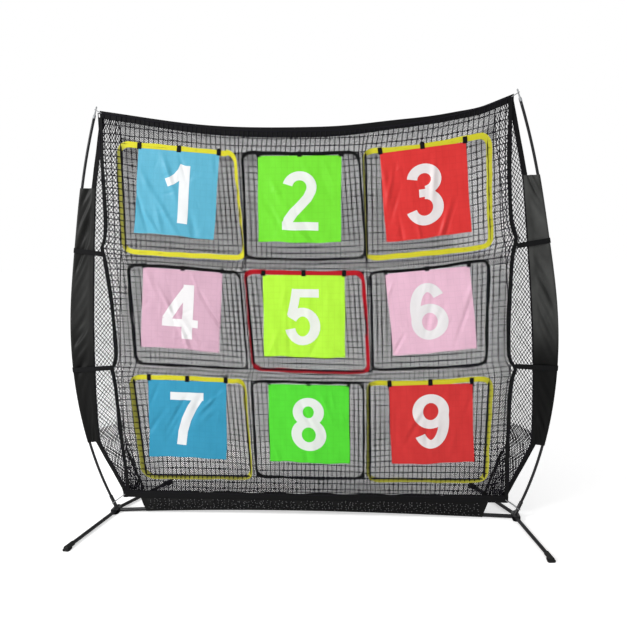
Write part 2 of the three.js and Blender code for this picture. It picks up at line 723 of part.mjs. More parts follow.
function flagSheet(number) {
  return sheetSolid({
    us: evenly(-flagWidth / 2, flagWidth / 2, 5),
    vs: evenly(-flagHeight, 0, 3),
    thickness: flagThickness,
    surface: (x, z) => {
      const fall = -z / flagHeight;
      const wave = (1 + Math.sin((x / flagWidth) * 2.6 * Math.PI + number)) / 2;
      return new THREE.Vector3(x, -flagFold * wave * fall * (1 - fall * 0.35), z);
    },
  });
}

const trimColour = ({ number }) => {
  if (number === 5) return redRibbon;
  return number % 2 ? yellowRibbon : blackRibbon;
};
const flagColours = ['sky', 'green', 'red', 'pink', 'lime', 'blush', 'blue', 'green', 'red'];

for (const hole of holes) {
  addPiece(`pocket_${hole.number}`, pocketNet(hole), netting);
  addPiece(`trim_${hole.number}`, trimRibbon(hole), trimColour(hole));
  const flag = addPiece(`flag_${hole.number}`, flagSheet(hole.number),
    flagCloth[flagColours[hole.number - 1]]);
  const place = flagPlace(hole);
  flag.position.set(
    place.x + Math.sin(place.slope) * flagHang,
    flagY,
    place.z - Math.cos(place.slope) * flagHang,
  );
  flag.rotation.y = -place.slope;
}

// ---- Cloth wings on the poles -------------------------------------------------------------------
const sleeveRing = poleDiameter / 2 + wingSleeveClearance + wingClothThickness / 2;
const ringTurn = 305 * degrees;
const wingInnerY = backstopY - netThickness / 2 - fitGap - wingClothThickness / 2;
const ringStart = 0.5;          // share of the cloth's path where it reaches the pole

// The cloth runs from the net's edge to the front of the pole and on round it.
function wingSurface(s, z) {
  const { point, along } = poleAt(z);
  const across = new THREE.Vector3(along.z, 0, -along.x);
  const front = new THREE.Vector3(0, -1, 0);
  const onRing = (turn) => point.clone()
    .addScaledVector(across, sleeveRing * Math.sin(turn))
    .addScaledVector(front, sleeveRing * Math.cos(turn));
  if (s >= ringStart) return onRing(((s - ringStart) / (1 - ringStart)) * ringTurn);
  const share = s / ringStart;
  const inner = new THREE.Vector3(edgeX(z) - wingLap, wingInnerY, z);
  const flat = inner.lerp(onRing(0), share);
  const free = Math.max(0, share - 0.25) * Math.max(0, 0.95 - share) * 8;
  flat.y += wingFold * free * (0.6 + Math.sin(z / 48 + share * 5));
  return flat;
}

const wing = sheetSolid({
  us: [...evenly(0, ringStart, 4), ...evenly(ringStart, 1, 8).slice(1)],
  vs: uniqueSorted([
    ...evenly(wingLowZ, strapHeights[0], 4),
    ...evenly(strapHeights[0], strapHeights[1], 6),
    ...evenly(strapHeights[1], wingHighZ, 3),
  ]),
  thickness: wingClothThickness,
  surface: wingSurface,
});

// ---- Straps that draw the target net out to the poles -------------------------------------------
const strapRing = sleeveRing + wingClothThickness / 2 + 3 * fitGap;

function strap(height) {
  const { point, along } = poleAt(height);
  const tilt = Math.atan2(along.x, along.z);
  const reach = point.x - hang(netEdge, height).x - 2;
  const outer = strapRing + strapThickness;
  const netSide = -ribbonBack;
  const ring = (radius) => evenly(-90, strapTurnEnd, 12)
    .map((angle) => [radius * Math.cos(angle * degrees), radius * Math.sin(angle * degrees)]);
  const outline = [
    [-reach, -netSide - strapThickness], [-reach + bindingWidth, -netSide - strapThickness],
    ...ring(outer), ...ring(strapRing).reverse(), [-reach + bindingWidth, -netSide], [-reach, -netSide],
  ];
  return slab(outline, -strapWidth / 2, strapWidth / 2)
    .rotateY(tilt)
    .translate(point.x, 0, point.z);
}

// ---- Sleeve that ties the nets to the crossbar --------------------------------------------------
const sleeveRadius = crossbarRadius + socketClearance + sleeveThickness / 2;
const sleeveTopY = bandThickness / 2 - sleeveThickness / 2;
const sleeveTopZ = hemLow + netLap;

// Path s runs from -1 at the front hem, down round the bar and up to 1 at the back hem.
const sleeveWrap = 0.4;         // share of the path that lies round the bar
const sleeveSeam = 0.86;        // from here the cloth is flat between the two nets' hems

function sleeveSurface(s, x) {
  const side = Math.sign(s) || 1;
  const rising = Math.min(1, Math.max(0, (Math.abs(s) - sleeveWrap) / (sleeveSeam - sleeveWrap)));
  const lapped = Math.max(0, (Math.abs(s) - sleeveSeam) / (1 - sleeveSeam));
  const angle = (Math.min(Math.abs(s), sleeveWrap) / sleeveWrap) * 100 * degrees * side;
  const ripple = sleeveRipple * Math.abs(Math.sin(x / 31)) * Math.sin(Math.PI * rising);
  const y = sleeveRadius * Math.sin(angle) * (1 - rising) + side * (sleeveTopY * rising + ripple);
  const z = (tubeAxisZ - sleeveRadius * Math.cos(angle)) * (1 - rising)
    + (hemLow - 2) * rising + (sleeveTopZ - hemLow + 2) * lapped;
  const reach = sleeveHalfLength + sleeveFlare * rising;
  return new THREE.Vector3((x * reach) / sleeveHalfLength, y, z);
}

const crossbarSleeve = sheetSolid({
  us: [...evenly(-1, -sleeveSeam, 1), -0.63, ...evenly(-sleeveWrap, sleeveWrap, 6), 0.63,
    ...evenly(sleeveSeam, 1, 1)],
  vs: evenly(-sleeveHalfLength, sleeveHalfLength, 9),
  thickness: sleeveThickness,
  surface: sleeveSurface,
});
addPiece('crossbar_sleeve', crossbarSleeve, webbing);

// ---- Corner tapes -------------------------------------------------------------------------------
const tapeTop = hang(netEdge, tapeTopZ);
const tapeFoot = hang(netEdge - tapeInset, hemHigh + 4);
const tape = frontPanel([
  [tapeTop.x - tapeWidth, tapeTop.z], [tapeTop.x, tapeTop.z + 20],
  [tapeTop.x, tapeTop.z - 20], [tapeFoot.x + tapeWidth, tapeFoot.z], [tapeFoot.x, tapeFoot.z],
].reverse(), pocketRimY + netThickness / 2, netThickness);

// ---- Elastic loops ------------------------------------------------------------------------------
// A loop of cord held taut round two round seats, in the plane of the line between them and Y.
function elasticLoop(from, fromRadius, to, toRadius) {
  const cord = elasticDiameter / 2;
  const forward = to.clone().sub(from);
  const length = forward.length();
  forward.normalize();
  const flank = new THREE.Vector3(0, 1, 0);
  const rise = new THREE.Vector3().crossVectors(forward, flank);
  const spread = Math.acos((fromRadius - toRadius) / length);
  const arc = (centre, radius, start, end) => evenly(start, end, 6).map((angle) => ({
    centre: centre.clone()
      .addScaledVector(forward, radius * Math.cos(angle))
      .addScaledVector(flank, radius * Math.sin(angle)),
    out: forward.clone().multiplyScalar(Math.cos(angle)).addScaledVector(flank, Math.sin(angle)),
  }));
  const stations = [
    ...arc(to, toRadius, -spread, spread),
    ...arc(from, fromRadius, spread, 2 * Math.PI - spread),
  ];
  const around = 6;
  const positions = [];
  const index = [];
  stations.forEach(({ centre, out }, k) => {
    for (let m = 0; m < around; m += 1) {
      const angle = (m / around) * 2 * Math.PI;
      positions.push(...centre.clone()
        .addScaledVector(out, cord * Math.cos(angle))
        .addScaledVector(rise, cord * Math.sin(angle)).toArray());
      const next = (k + 1) % stations.length;
      const a = k * around + m;
      const b = k * around + ((m + 1) % around);
      const c = next * around + ((m + 1) % around);
      const d = next * around + m;
      index.push(a, c, b, a, d, c);
    }
  });
  const geometry = new THREE.BufferGeometry();
  geometry.setAttribute('position', new THREE.Float32BufferAttribute(positions, 3));
  geometry.setIndex(index);
  geometry.computeVertexNormals();
  return geometry;
}

const cordRadius = elasticDiameter / 2;

// The loop's near end turns through an eyelet in cloth that reaches halfThickness either side.
function elasticFromEyelet(eyelet, halfThickness, seat, seatRadius) {
  const bend = halfThickness + cordRadius + elasticClearance;
  const toSeat = seat.clone().sub(eyelet).normalize();
  const ahead = (bend + Math.sqrt(bend ** 2 - halfThickness ** 2)) / 2;
  const centre = eyelet.clone().addScaledVector(toSeat, ahead);
  return elasticLoop(centre, bend, seat, seatRadius);
}

const neckPoint = poleEnd.clone().addScaledVector(lean(-poleHeadLean), (neckLow + neckHigh) / 2);
const bandEyePoint = new THREE.Vector3(bandEye.x, 0, bandEye.z);
const topLoop = elasticFromEyelet(bandEyePoint, bandThickness / 2,
  neckPoint, tipNeck + cordRadius + elasticClearance);
const socketGrip = poleSeat.clone().addScaledVector(lean(poleFootLean), socketLength * 0.42);
const hemEyePoint = new THREE.Vector3(hemEye.x, 0, hemEye.z);
const bottomLoop = elasticFromEyelet(hemEyePoint, layerBehind + netThickness / 2,
  socketGrip, socketOuter + cordRadius + elasticClearance);

for (const [name, side] of sides) {
  addPiece(`wing_${name}`, forSide(wing, side), wingCloth);
  addPiece(`strap_upper_${name}`, forSide(strap(strapHeights[1]), side), webbing);
  addPiece(`strap_lower_${name}`, forSide(strap(strapHeights[0]), side), webbing);
  addPiece(`corner_tape_${name}`, forSide(tape, side), webbing);
  addPiece(`elastic_top_${name}`, forSide(topLoop, side), elastic);
  addPiece(`elastic_bottom_${name}`, forSide(bottomLoop, side), elastic);
}

// The origin goes to the ground under the middle of the whole part's box.
const extent = new THREE.Box3().setFromObject(group, true);
group.position.y = -(extent.min.y + extent.max.y) / 2;

export default group;
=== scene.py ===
import math
import random

import bpy
from mathutils import Matrix, Vector


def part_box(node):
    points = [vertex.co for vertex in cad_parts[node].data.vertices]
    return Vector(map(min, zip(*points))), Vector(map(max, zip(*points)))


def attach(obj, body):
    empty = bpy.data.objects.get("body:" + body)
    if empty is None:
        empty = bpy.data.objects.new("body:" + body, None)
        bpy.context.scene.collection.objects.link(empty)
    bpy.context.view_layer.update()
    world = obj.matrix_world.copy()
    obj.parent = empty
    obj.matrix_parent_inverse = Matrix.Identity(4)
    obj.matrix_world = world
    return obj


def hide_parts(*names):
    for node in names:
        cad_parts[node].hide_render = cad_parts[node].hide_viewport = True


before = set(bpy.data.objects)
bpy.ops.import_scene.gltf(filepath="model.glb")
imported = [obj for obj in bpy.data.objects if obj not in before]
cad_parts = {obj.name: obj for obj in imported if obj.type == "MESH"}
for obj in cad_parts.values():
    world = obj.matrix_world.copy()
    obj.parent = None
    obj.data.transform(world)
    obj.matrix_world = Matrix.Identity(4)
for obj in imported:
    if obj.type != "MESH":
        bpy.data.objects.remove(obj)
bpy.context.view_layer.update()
poleY = (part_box("top_band")[0].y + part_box("top_band")[1].y) / 2  # plane of the bow poles
sides = (("left", -1), ("right", 1))


# Small helpers

def deselectAll():
    if bpy.context.object and bpy.context.object.mode != "OBJECT":
        bpy.ops.object.mode_set(mode="OBJECT")
    bpy.ops.object.select_all(action="DESELECT")


def pick(obj):
    deselectAll()
    obj.select_set(True)
    bpy.context.view_layer.objects.active = obj
    return obj


def applyModifiers(obj):
    pick(obj)
    for each in list(obj.modifiers):
        bpy.ops.object.modifier_apply(modifier=each.name)
    return obj


def smooth(obj, degrees=40):
    pick(obj)
    bpy.ops.object.shade_smooth_by_angle(angle=math.radians(degrees))
    return obj


def finishPiece(obj, material, body="frame"):
    obj.data.materials.clear()
    obj.data.materials.append(material)
    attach(obj, body)
    return obj


def joinPieces(parts, name):
    deselectAll()
    for part in parts:
        part.select_set(True)
    bpy.context.view_layer.objects.active = parts[0]
    if len(parts) > 1:
        bpy.ops.object.join()
    joined = bpy.context.object
    joined.name = name
    return joined


def evenly(low, high, steps):
    return [low + (high - low) * k / steps for k in range(steps + 1)]


def gridSheet(name, us, vs, place, uvSize=None, isOpen=None):
    # a plane grid whose lines lie at us and vs, laid where place(u, v) says
    deselectAll()
    bpy.ops.mesh.primitive_grid_add(x_subdivisions=len(us) - 1, y_subdivisions=len(vs) - 1, size=1)
    obj = bpy.context.object
    obj.name = name
    mesh = obj.data
    spots = [(round((v.co.x + 0.5) * (len(us) - 1)), round((v.co.y + 0.5) * (len(vs) - 1)))
             for v in mesh.vertices]
    if uvSize:
        for loop in mesh.uv_layers[0].data:
            loop.uv = (loop.uv[0] * uvSize[0], loop.uv[1] * uvSize[1])
    for vertex, (i, j) in zip(mesh.vertices, spots):
        vertex.co = place(us[i], vs[j])
    if isOpen:
        bpy.ops.object.mode_set(mode="EDIT")
        bpy.ops.mesh.select_mode(type="FACE")
        bpy.ops.object.mode_set(mode="OBJECT")
        for face in mesh.polygons:
            u = sum(us[spots[v][0]] for v in face.vertices) / len(face.vertices)
            w = sum(vs[spots[v][1]] for v in face.vertices) / len(face.vertices)
            face.select = isOpen(u, w)
        bpy.ops.object.mode_set(mode="EDIT")
        bpy.ops.mesh.delete(type="FACE")
        bpy.ops.object.mode_set(mode="OBJECT")
    return obj


def thicken(obj, thickness, offset=0.0):
    wall = obj.modifiers.new("thickness", "SOLIDIFY")
    wall.thickness = thickness
    wall.offset = offset
    applyModifiers(obj)
    return obj


def closeSeam(obj, distance=0.0002):
    pick(obj)
    bpy.ops.object.mode_set(mode="EDIT")
    bpy.ops.mesh.select_all(action="SELECT")
    bpy.ops.mesh.remove_doubles(threshold=distance)
    bpy.ops.object.mode_set(mode="OBJECT")
    return obj


def addKnots(obj, radius):
    # geometry nodes: a small eight-sided bead on every crossing of the mesh
    tree = bpy.data.node_groups.new("knots", "GeometryNodeTree")
    tree.interface.new_socket("Geometry", in_out="INPUT", socket_type="NodeSocketGeometry")
    tree.interface.new_socket("Geometry", in_out="OUTPUT", socket_type="NodeSocketGeometry")
    mesh = tree.nodes.new("NodeGroupInput")
    bead = tree.nodes.new("GeometryNodeMeshUVSphere")
    bead.inputs["Segments"].default_value = 4
    bead.inputs["Rings"].default_value = 2
    bead.inputs["Radius"].default_value = radius
    spread = tree.nodes.new("GeometryNodeInstanceOnPoints")
    real = tree.nodes.new("GeometryNodeRealizeInstances")
    out = tree.nodes.new("NodeGroupOutput")
    tree.links.new(mesh.outputs[0], spread.inputs["Points"])
    tree.links.new(bead.outputs["Mesh"], spread.inputs["Instance"])
    tree.links.new(spread.outputs["Instances"], real.inputs["Geometry"])
    tree.links.new(real.outputs["Geometry"], out.inputs[0])
    knots = obj.modifiers.new("knots", "NODES")
    knots.node_group = tree
    applyModifiers(obj)
    return obj


def halfTurned(obj):
    # turns a square mesh into a diamond one: a point in each cell, joined to its corners
    corners = len(obj.data.vertices)
    pick(obj)
    bpy.ops.object.mode_set(mode="EDIT")
    bpy.ops.mesh.select_mode(type="FACE")
    bpy.ops.mesh.select_all(action="SELECT")
    bpy.ops.mesh.poke()
    bpy.ops.mesh.select_mode(type="EDGE")
    bpy.ops.mesh.select_all(action="DESELECT")
    bpy.ops.object.mode_set(mode="OBJECT")
    used = {}
    for face in obj.data.polygons:
        for key in face.edge_keys:
            used[key] = used.get(key, 0) + 1
    for edge in obj.data.edges:
        a, b = edge.vertices
        edge.select = a < corners and b < corners and used[edge.key] == 2
    bpy.ops.object.mode_set(mode="EDIT")
    bpy.ops.mesh.dissolve_edges(use_verts=False)
    bpy.ops.object.mode_set(mode="OBJECT")
    return obj


def takeFaces(obj, name, test):
    # moves the faces that test picks to a piece of their own
    pick(obj)
    bpy.ops.object.mode_set(mode="EDIT")
    bpy.ops.mesh.select_mode(type="FACE")
    bpy.ops.mesh.select_all(action="DESELECT")
    bpy.ops.object.mode_set(mode="OBJECT")
    for face in obj.data.polygons:
        face.select = test(face.center)
    bpy.ops.object.mode_set(mode="EDIT")
    bpy.ops.mesh.separate(type="SELECTED")
    bpy.ops.object.mode_set(mode="OBJECT")
    part = [o for o in bpy.context.selected_objects if o is not obj][0]
    part.name = name
    return part


def cutInBands(obj, count):
    # parts a wide net in upright bands, cell by cell, each to be made up by itself
    reach = sorted(face.center.x for face in obj.data.polygons)
    limits = [reach[len(reach) * k // count] for k in range(1, count)]
    bands = [takeFaces(obj, f"{obj.name}_{k + 1}", lambda spot: spot.x < limit)
             for k, limit in enumerate(limits)]
    obj.name = f"{obj.name}_{count}"
    return bands + [obj]


def twineNet(name, us, vs, place, twine, knot=0, isOpen=None):
    # each edge of the grid becomes a length of twine, with knots of the size given
    return madeOfTwine(gridSheet(name, us, vs, place, isOpen=isOpen), twine, knot)


def madeOfTwine(obj, twine, knot=0):
    beads = []
    if knot:
        beads.append(obj.copy())
        beads[0].data = obj.data.copy()
        bpy.context.scene.collection.objects.link(beads[0])
    wires = obj.modifiers.new("twine", "WIREFRAME")
    wires.thickness = twine
    wires.use_even_offset = False
    wires.use_relative_offset = False
    wires.use_replace = True
    wires.use_boundary = True
    applyModifiers(obj)
    smooth(obj)
    for bead in beads:
        addKnots(bead, knot)
        bead.name = obj.name + "_knots"
        bpy.ops.object.shade_flat()
    return [obj] + beads


def finishNet(pieces, node):
    for piece in pieces:
        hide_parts(node)
        finishPiece(piece, twine)
    return pieces


def dressCopy(node, bevel):
    # a welded, bevelled copy of a solid from the frame
    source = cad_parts[node]
    copy = source.copy()
    copy.data = source.data.copy()
    copy.name = node + "_finished"
    for key in [k for k in copy.keys() if k.startswith("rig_")]:
        del copy[key]
    bpy.context.scene.collection.objects.link(copy)
    copy.parent = None
    copy.matrix_world = Matrix.Identity(4)
    closeSeam(copy, 0.00002)
    if bevel:
        edge = copy.modifiers.new("edges", "BEVEL")
        edge.width = bevel
        edge.segments = 2
        edge.limit_method = "ANGLE"
        edge.angle_limit = math.radians(40)
        edge.use_clamp_overlap = True
        applyModifiers(copy)
    smooth(copy, 35)
    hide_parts(node)
    return copy


# Materials

def newMaterial(name, color, roughness, metallic=0.0, sheen=0.0, specular=0.5):
    material = bpy.data.materials.new(name)
    material.use_nodes = True
    nodes = material.node_tree.nodes
    shader = nodes["Principled BSDF"]
    shader.inputs["Base Color"].default_value = (*color, 1)
    shader.inputs["Roughness"].default_value = roughness
    shader.inputs["Metallic"].default_value = metallic
    shader.inputs["Sheen Weight"].default_value = sheen
    shader.inputs["Specular IOR Level"].default_value = specular
    return material, nodes, material.node_tree.links, shader


def mixedColor(nodes, links, shader, factor, dark, light):
    mix = nodes.new("ShaderNodeMix")
    mix.data_type = "RGBA"
    mix.inputs["A"].default_value = (*dark, 1)
    mix.inputs["B"].default_value = (*light, 1)
    links.new(factor, mix.inputs["Factor"])
    links.new(mix.outputs["Result"], shader.inputs["Base Color"])
    return mix


def bumpFrom(nodes, links, shader, height, strength, distance):
    bump = nodes.new("ShaderNodeBump")
    bump.inputs["Strength"].default_value = strength
    bump.inputs["Distance"].default_value = distance
    links.new(height, bump.inputs["Height"])
    links.new(bump.outputs["Normal"], shader.inputs["Normal"])
    return bump


def noiseOn(nodes, links, vector, scale, detail=3.0, stretch=(1, 1, 1)):
    mapping = nodes.new("ShaderNodeMapping")
    mapping.inputs["Scale"].default_value = stretch
    links.new(vector, mapping.inputs["Vector"])
    noise = nodes.new("ShaderNodeTexNoise")
    noise.inputs["Scale"].default_value = scale
    noise.inputs["Detail"].default_value = detail
    links.new(mapping.outputs["Vector"], noise.inputs["Vector"])
    return noise.outputs["Fac"]


def coordinates(nodes, kind):
    return nodes.new("ShaderNodeTexCoord").outputs[kind]


def weaveHeight(nodes, links, vector, pitch):
    # crossing threads: two sets of bands, pitch metres apart, multiplied
    bands = []
    for direction in ("X", "Y"):
        wave = nodes.new("ShaderNodeTexWave")
        wave.bands_direction = direction
        wave.inputs["Scale"].default_value = 0.314 / pitch
        wave.inputs["Distortion"].default_value = 0.4
        links.new(vector, wave.inputs["Vector"])
        bands.append(wave.outputs["Fac"])
    product = nodes.new("ShaderNodeMath")
    product.operation = "MULTIPLY"
    links.new(bands[0], product.inputs[0])
    links.new(bands[1], product.inputs[1])
    return product.outputs["Value"]


def paintedSteel():
    material, nodes, links, shader = newMaterial("powderCoat", (0.01, 0.01, 0.011), 0.4, specular=0.35)
    where = coordinates(nodes, "Object")
    cloud = noiseOn(nodes, links, where, 9)
    mixedColor(nodes, links, shader, cloud, (0.005, 0.005, 0.006), (0.016, 0.016, 0.018))
    grit = noiseOn(nodes, links, where, 900, 2)
    bumpFrom(nodes, links, shader, grit, 0.25, 0.0004)
    return material


def moulded(name, dark, light, roughness, grain, strength):
    material, nodes, links, shader = newMaterial(name, dark, roughness, specular=0.3)
    where = coordinates(nodes, "Object")
    cloud = noiseOn(nodes, links, where, 25)
    mixedColor(nodes, links, shader, cloud, dark, light)
    bumpFrom(nodes, links, shader, noiseOn(nodes, links, where, grain, 2), strength, 0.0005)
    return material


def fibreglassRod():
    material, nodes, links, shader = newMaterial("fibreglassRod", (0.01, 0.01, 0.011), 0.3, specular=0.3)
    where = coordinates(nodes, "Object")
    streaks = noiseOn(nodes, links, where, 60, 4, (12, 12, 0.25))
    mixedColor(nodes, links, shader, streaks, (0.005, 0.005, 0.006), (0.02, 0.02, 0.023))
    bumpFrom(nodes, links, shader, streaks, 0.12, 0.0004)
    return material


def webbingBand(name, dark, light, pitch=0.0022, roughness=0.72):
    material, nodes, links, shader = newMaterial(name, dark, roughness, specular=0.15)
    where = coordinates(nodes, "UV")
    weave = weaveHeight(nodes, links, where, pitch)
    mixedColor(nodes, links, shader, weave, dark, light)
    bumpFrom(nodes, links, shader, weave, 0.5, 0.0006)
    return material


def ribbonBand(name, dark, light, shaded):
    # painted shade: duller where the ribbon lies behind the netting
    material, nodes, links, shader = newMaterial(name, dark, 0.6, specular=0.15)
    weave = weaveHeight(nodes, links, coordinates(nodes, "UV"), 0.0016)
    mix = mixedColor(nodes, links, shader, weave, dark, light)
    behind = nodes.new("ShaderNodeAttribute")
    behind.attribute_name = "shaded"
    paintedShade = mixedColor(nodes, links, shader, behind.outputs["Fac"], dark, shaded)
    links.new(mix.outputs["Result"], paintedShade.inputs["A"])
    bumpFrom(nodes, links, shader, weave, 0.5, 0.0006)
    return material


def twineCord(name, dark, light):
    material, nodes, links, shader = newMaterial(name, dark, 0.8, specular=0.1)
    where = coordinates(nodes, "Object")
    plait = noiseOn(nodes, links, where, 420, 2)
    mixedColor(nodes, links, shader, plait, dark, light)
    bumpFrom(nodes, links, shader, plait, 0.6, 0.0008)
    return material


def paintedGlintMaterial():
    # painted glints: knots lighter here and there, as if they caught the light
    material, nodes, links, shader = newMaterial("paintedGlintTwine", (0.1, 0.1, 0.1), 0.6, specular=0.3)
    spots = noiseOn(nodes, links, coordinates(nodes, "Object"), 21, 3)
    mixedColor(nodes, links, shader, spots, (0.0, 0.0, 0.0), (0.3, 0.3, 0.3))
    return material


def coatedCloth(name, below, above):
    # painted light: greyer towards its upper end, where more light falls; the tones are set per wing, and
    # their difference from wing to wing is painted light as well, both wings being one cloth
    material, nodes, links, shader = newMaterial(name, (0.008, 0.008, 0.008), 0.46, specular=0.16)
    where = coordinates(nodes, "UV")
    cloud = noiseOn(nodes, links, where, 14, 5, (1, 0.35, 1))
    height = nodes.new("ShaderNodeSeparateXYZ")
    links.new(coordinates(nodes, "Object"), height.inputs["Vector"])
    paintedLightRise = nodes.new("ShaderNodeMapRange")
    paintedLightRise.interpolation_type = "SMOOTHSTEP"
    paintedLightRise.inputs["From Min"].default_value = 0.8
    paintedLightRise.inputs["From Max"].default_value = 1.08
    links.new(height.outputs["Z"], paintedLightRise.inputs["Value"])
    patchy = nodes.new("ShaderNodeMath")
    patchy.operation = "MULTIPLY"
    links.new(cloud, patchy.inputs[0])
    links.new(paintedLightRise.outputs["Result"], patchy.inputs[1])
    mixedColor(nodes, links, shader, patchy.outputs["Value"], (below, below, below * 0.95),
               (above, above * 1.02, above * 0.98))
    ripples = noiseOn(nodes, links, where, 30, 4, (1, 0.4, 1))
    bumpFrom(nodes, links, shader, ripples, 0.45, 0.006)
    return material


def netShade(nodes, links, shader, where, color):
    # a painted grid, as if the net behind showed through; it stays when the flag swings away
    base = shader.inputs["Base Color"].links[0].from_socket
    wander = noiseOn(nodes, links, where, 5, 2)
    pushed = nodes.new("ShaderNodeVectorMath")
    pushed.operation = "MULTIPLY_ADD"
    pushed.inputs[1].default_value = (0.012, 0.012, 0)
    links.new(wander, pushed.inputs[0])
    links.new(where, pushed.inputs[2])
    grid = nodes.new("ShaderNodeTexBrick")
    grid.offset = 0
    grid.inputs["Color1"].default_value = (0, 0, 0, 1)
    grid.inputs["Color2"].default_value = (0, 0, 0, 1)
    grid.inputs["Mortar"].default_value = (1, 1, 1, 1)
    grid.inputs["Scale"].default_value = 1.0
    grid.inputs["Mortar Size"].default_value = 0.0022
    grid.inputs["Mortar Smooth"].default_value = 0.6
    grid.inputs["Brick Width"].default_value = 0.031
    grid.inputs["Row Height"].default_value = 0.031
    links.new(pushed.outputs["Vector"], grid.inputs["Vector"])
    faint = nodes.new("ShaderNodeMath")
    faint.operation = "MULTIPLY"
    faint.inputs[1].default_value = 0.1
    links.new(grid.outputs["Color"], faint.inputs[0])
    mix = nodes.new("ShaderNodeMix")
    mix.data_type = "RGBA"
    links.new(faint.outputs["Value"], mix.inputs["Factor"])
    links.new(base, mix.inputs[6])
    mix.inputs[7].default_value = tuple(c * 0.5 for c in color[:3]) + (1,)
    links.new(mix.outputs[2], shader.inputs["Base Color"])


def taffeta(name, color):
    # thin flag cloth: painted sheen, its colour mottled lighter and darker in streaks, and fine creases
    dark = tuple(c * 0.84 for c in color)
    light = tuple(min(1, c * 1.06 + 0.015) for c in color)
    material, nodes, links, shader = newMaterial(name, color, 0.45, specular=0.35)
    where = coordinates(nodes, "UV")
    cloud = noiseOn(nodes, links, where, 11, 6, (1.6, 0.7, 1))
    mixedColor(nodes, links, shader, cloud, dark, light)
    netShade(nodes, links, shader, coordinates(nodes, "UV"), color)
    creases = noiseOn(nodes, links, where, 22, 5, (1.3, 0.55, 1))
    bumpFrom(nodes, links, shader, creases, 0.35, 0.005)
    return material


def printedWhite(number):
    # white ink that lets a little of the cloth's colour through
    tint = flagColors[number]
    dark = tuple(0.72 + 0.08 * c for c in tint)
    light = tuple(0.84 + 0.06 * c for c in tint)
    material, nodes, links, shader = newMaterial(f"numberPrint_{number}", light, 0.5, specular=0.3)
    where = coordinates(nodes, "Object")
    mixedColor(nodes, links, shader, noiseOn(nodes, links, where, 14, 4), dark, light)
    bumpFrom(nodes, links, shader, noiseOn(nodes, links, where, 26, 4), 0.25, 0.004)
    return material


def srgb(r, g, b):
    return tuple(c / 12.92 if c <= 0.04045 else ((c + 0.055) / 1.055) ** 2.4
                 for c in (r / 255, g / 255, b / 255))


steel = paintedSteel()
rubber = moulded("footRubber", (0.011, 0.011, 0.011), (0.022, 0.022, 0.022), 0.8, 700, 0.4)
rod = fibreglassRod()
tipPlastic = moulded("tipPlastic", srgb(150, 153, 156), srgb(176, 178, 180), 0.45, 500, 0.15)
webbing = webbingBand("blackWebbing", (0.003, 0.003, 0.0035), (0.011, 0.011, 0.012))
twine = twineCord("netTwine", (0.006, 0.006, 0.008), (0.02, 0.018, 0.025))
# both wings are one cloth; their different tones, and their greying upwards, are painted light
wingCloth = {"left": coatedCloth("wingClothLeft", 0.004, 0.035),
             "right": coatedCloth("wingClothRight", 0.002, 0.1)}
sleeveCloth = coatedCloth("sleeveCloth", 0.004, 0.004)
paintedGlintTwine = paintedGlintMaterial()
elastic = webbingBand("greyElastic", srgb(150, 152, 154), srgb(196, 198, 200), 0.0012)
# each ribbon's third colour is its painted shade where it lies behind the netting
ribbonLooks = {
    "yellow": ribbonBand("yellowRibbon", srgb(206, 200, 40), srgb(238, 232, 70), srgb(158, 156, 66)),
    "black": ribbonBand("blackRibbon", (0.003, 0.003, 0.0035), (0.012, 0.012, 0.013), (0.03, 0.03, 0.03)),
    "red": ribbonBand("redRibbon", srgb(176, 22, 34), srgb(216, 38, 52), srgb(136, 34, 44)),
}
# flags 1 and 7, 4 and 6, 3 and 9, 2 and 8 look like pairs of one cloth; the colour differences within a
# pair are painted light
flagColors = {1: srgb(84, 172, 200), 2: srgb(116, 228, 34), 3: srgb(224, 40, 38),
              4: srgb(211, 169, 189), 5: srgb(184, 250, 50), 6: srgb(242, 194, 216),
              7: srgb(37, 149, 186), 8: srgb(78, 222, 34), 9: srgb(214, 36, 36)}
flagLooks = {number: taffeta(f"taffeta_{number}", color) for number, color in flagColors.items()}
print("materials ready")


# Steel base: brackets, tubes, legs and feet

base = {"bevel": 0.0006, "tipBevel": 0.0004, "footBevel": 0.001, "rise": 0.023, "riseHalf": 1.03,
        "riseLean": 0.2, "bendHalf": 1.02, "bendRings": 34}


def crossbarRise(x):
    # the pull of the poles bows the crossbar a little off the ground
    return base["rise"] * max(0.0, 1 - (x / base["riseHalf"]) ** 2) * (1 - base["riseLean"] * x)


def bowedBar(node):
    bar = dressCopy(node, 0)
    pick(bar)
    bpy.ops.object.mode_set(mode="EDIT")
    for x in evenly(-base["bendHalf"], base["bendHalf"], base["bendRings"]):  # enough rings to bend
        bpy.ops.mesh.select_all(action="SELECT")
        bpy.ops.mesh.bisect(plane_co=(x, 0, 0), plane_no=(1, 0, 0))
    bpy.ops.object.mode_set(mode="OBJECT")
    for vertex in bar.data.vertices:
        vertex.co.z += crossbarRise(vertex.co.x)
    return bar


for side, _ in sides:
    finishPiece(dressCopy(f"hub_{side}", base["bevel"]), steel)
    finishPiece(bowedBar(f"crossbar_{side}"), steel)
    finishPiece(dressCopy(f"pole_tip_{side}", base["tipBevel"]), tipPlastic)
    for which in ("front", "rear"):
        finishPiece(dressCopy(f"leg_{which}_{side}", 0), steel, f"leg_{which}_{side}")
        finishPiece(dressCopy(f"foot_{which}_{side}", base["footBevel"]), rubber,
                    f"leg_{which}_{side}")
print("base ready")


# Bow poles

# radius is too big: the solid's rod is 0.006 and the sockets' bore 0.0065, so it stands in their walls
bow = {"radius": 0.007, "seat": (1.065, 0.0296), "socket": 0.068, "footLean": 24, "headLean": 17,
       "footPull": 0.7, "headPull": 0.6, "end": (1.063, 2.109), "give": 0.0155, "giveAt": 1.45,
       "giveReach": 0.36}


def leanBy(degrees):
    return math.sin(math.radians(degrees)), math.cos(math.radians(degrees))


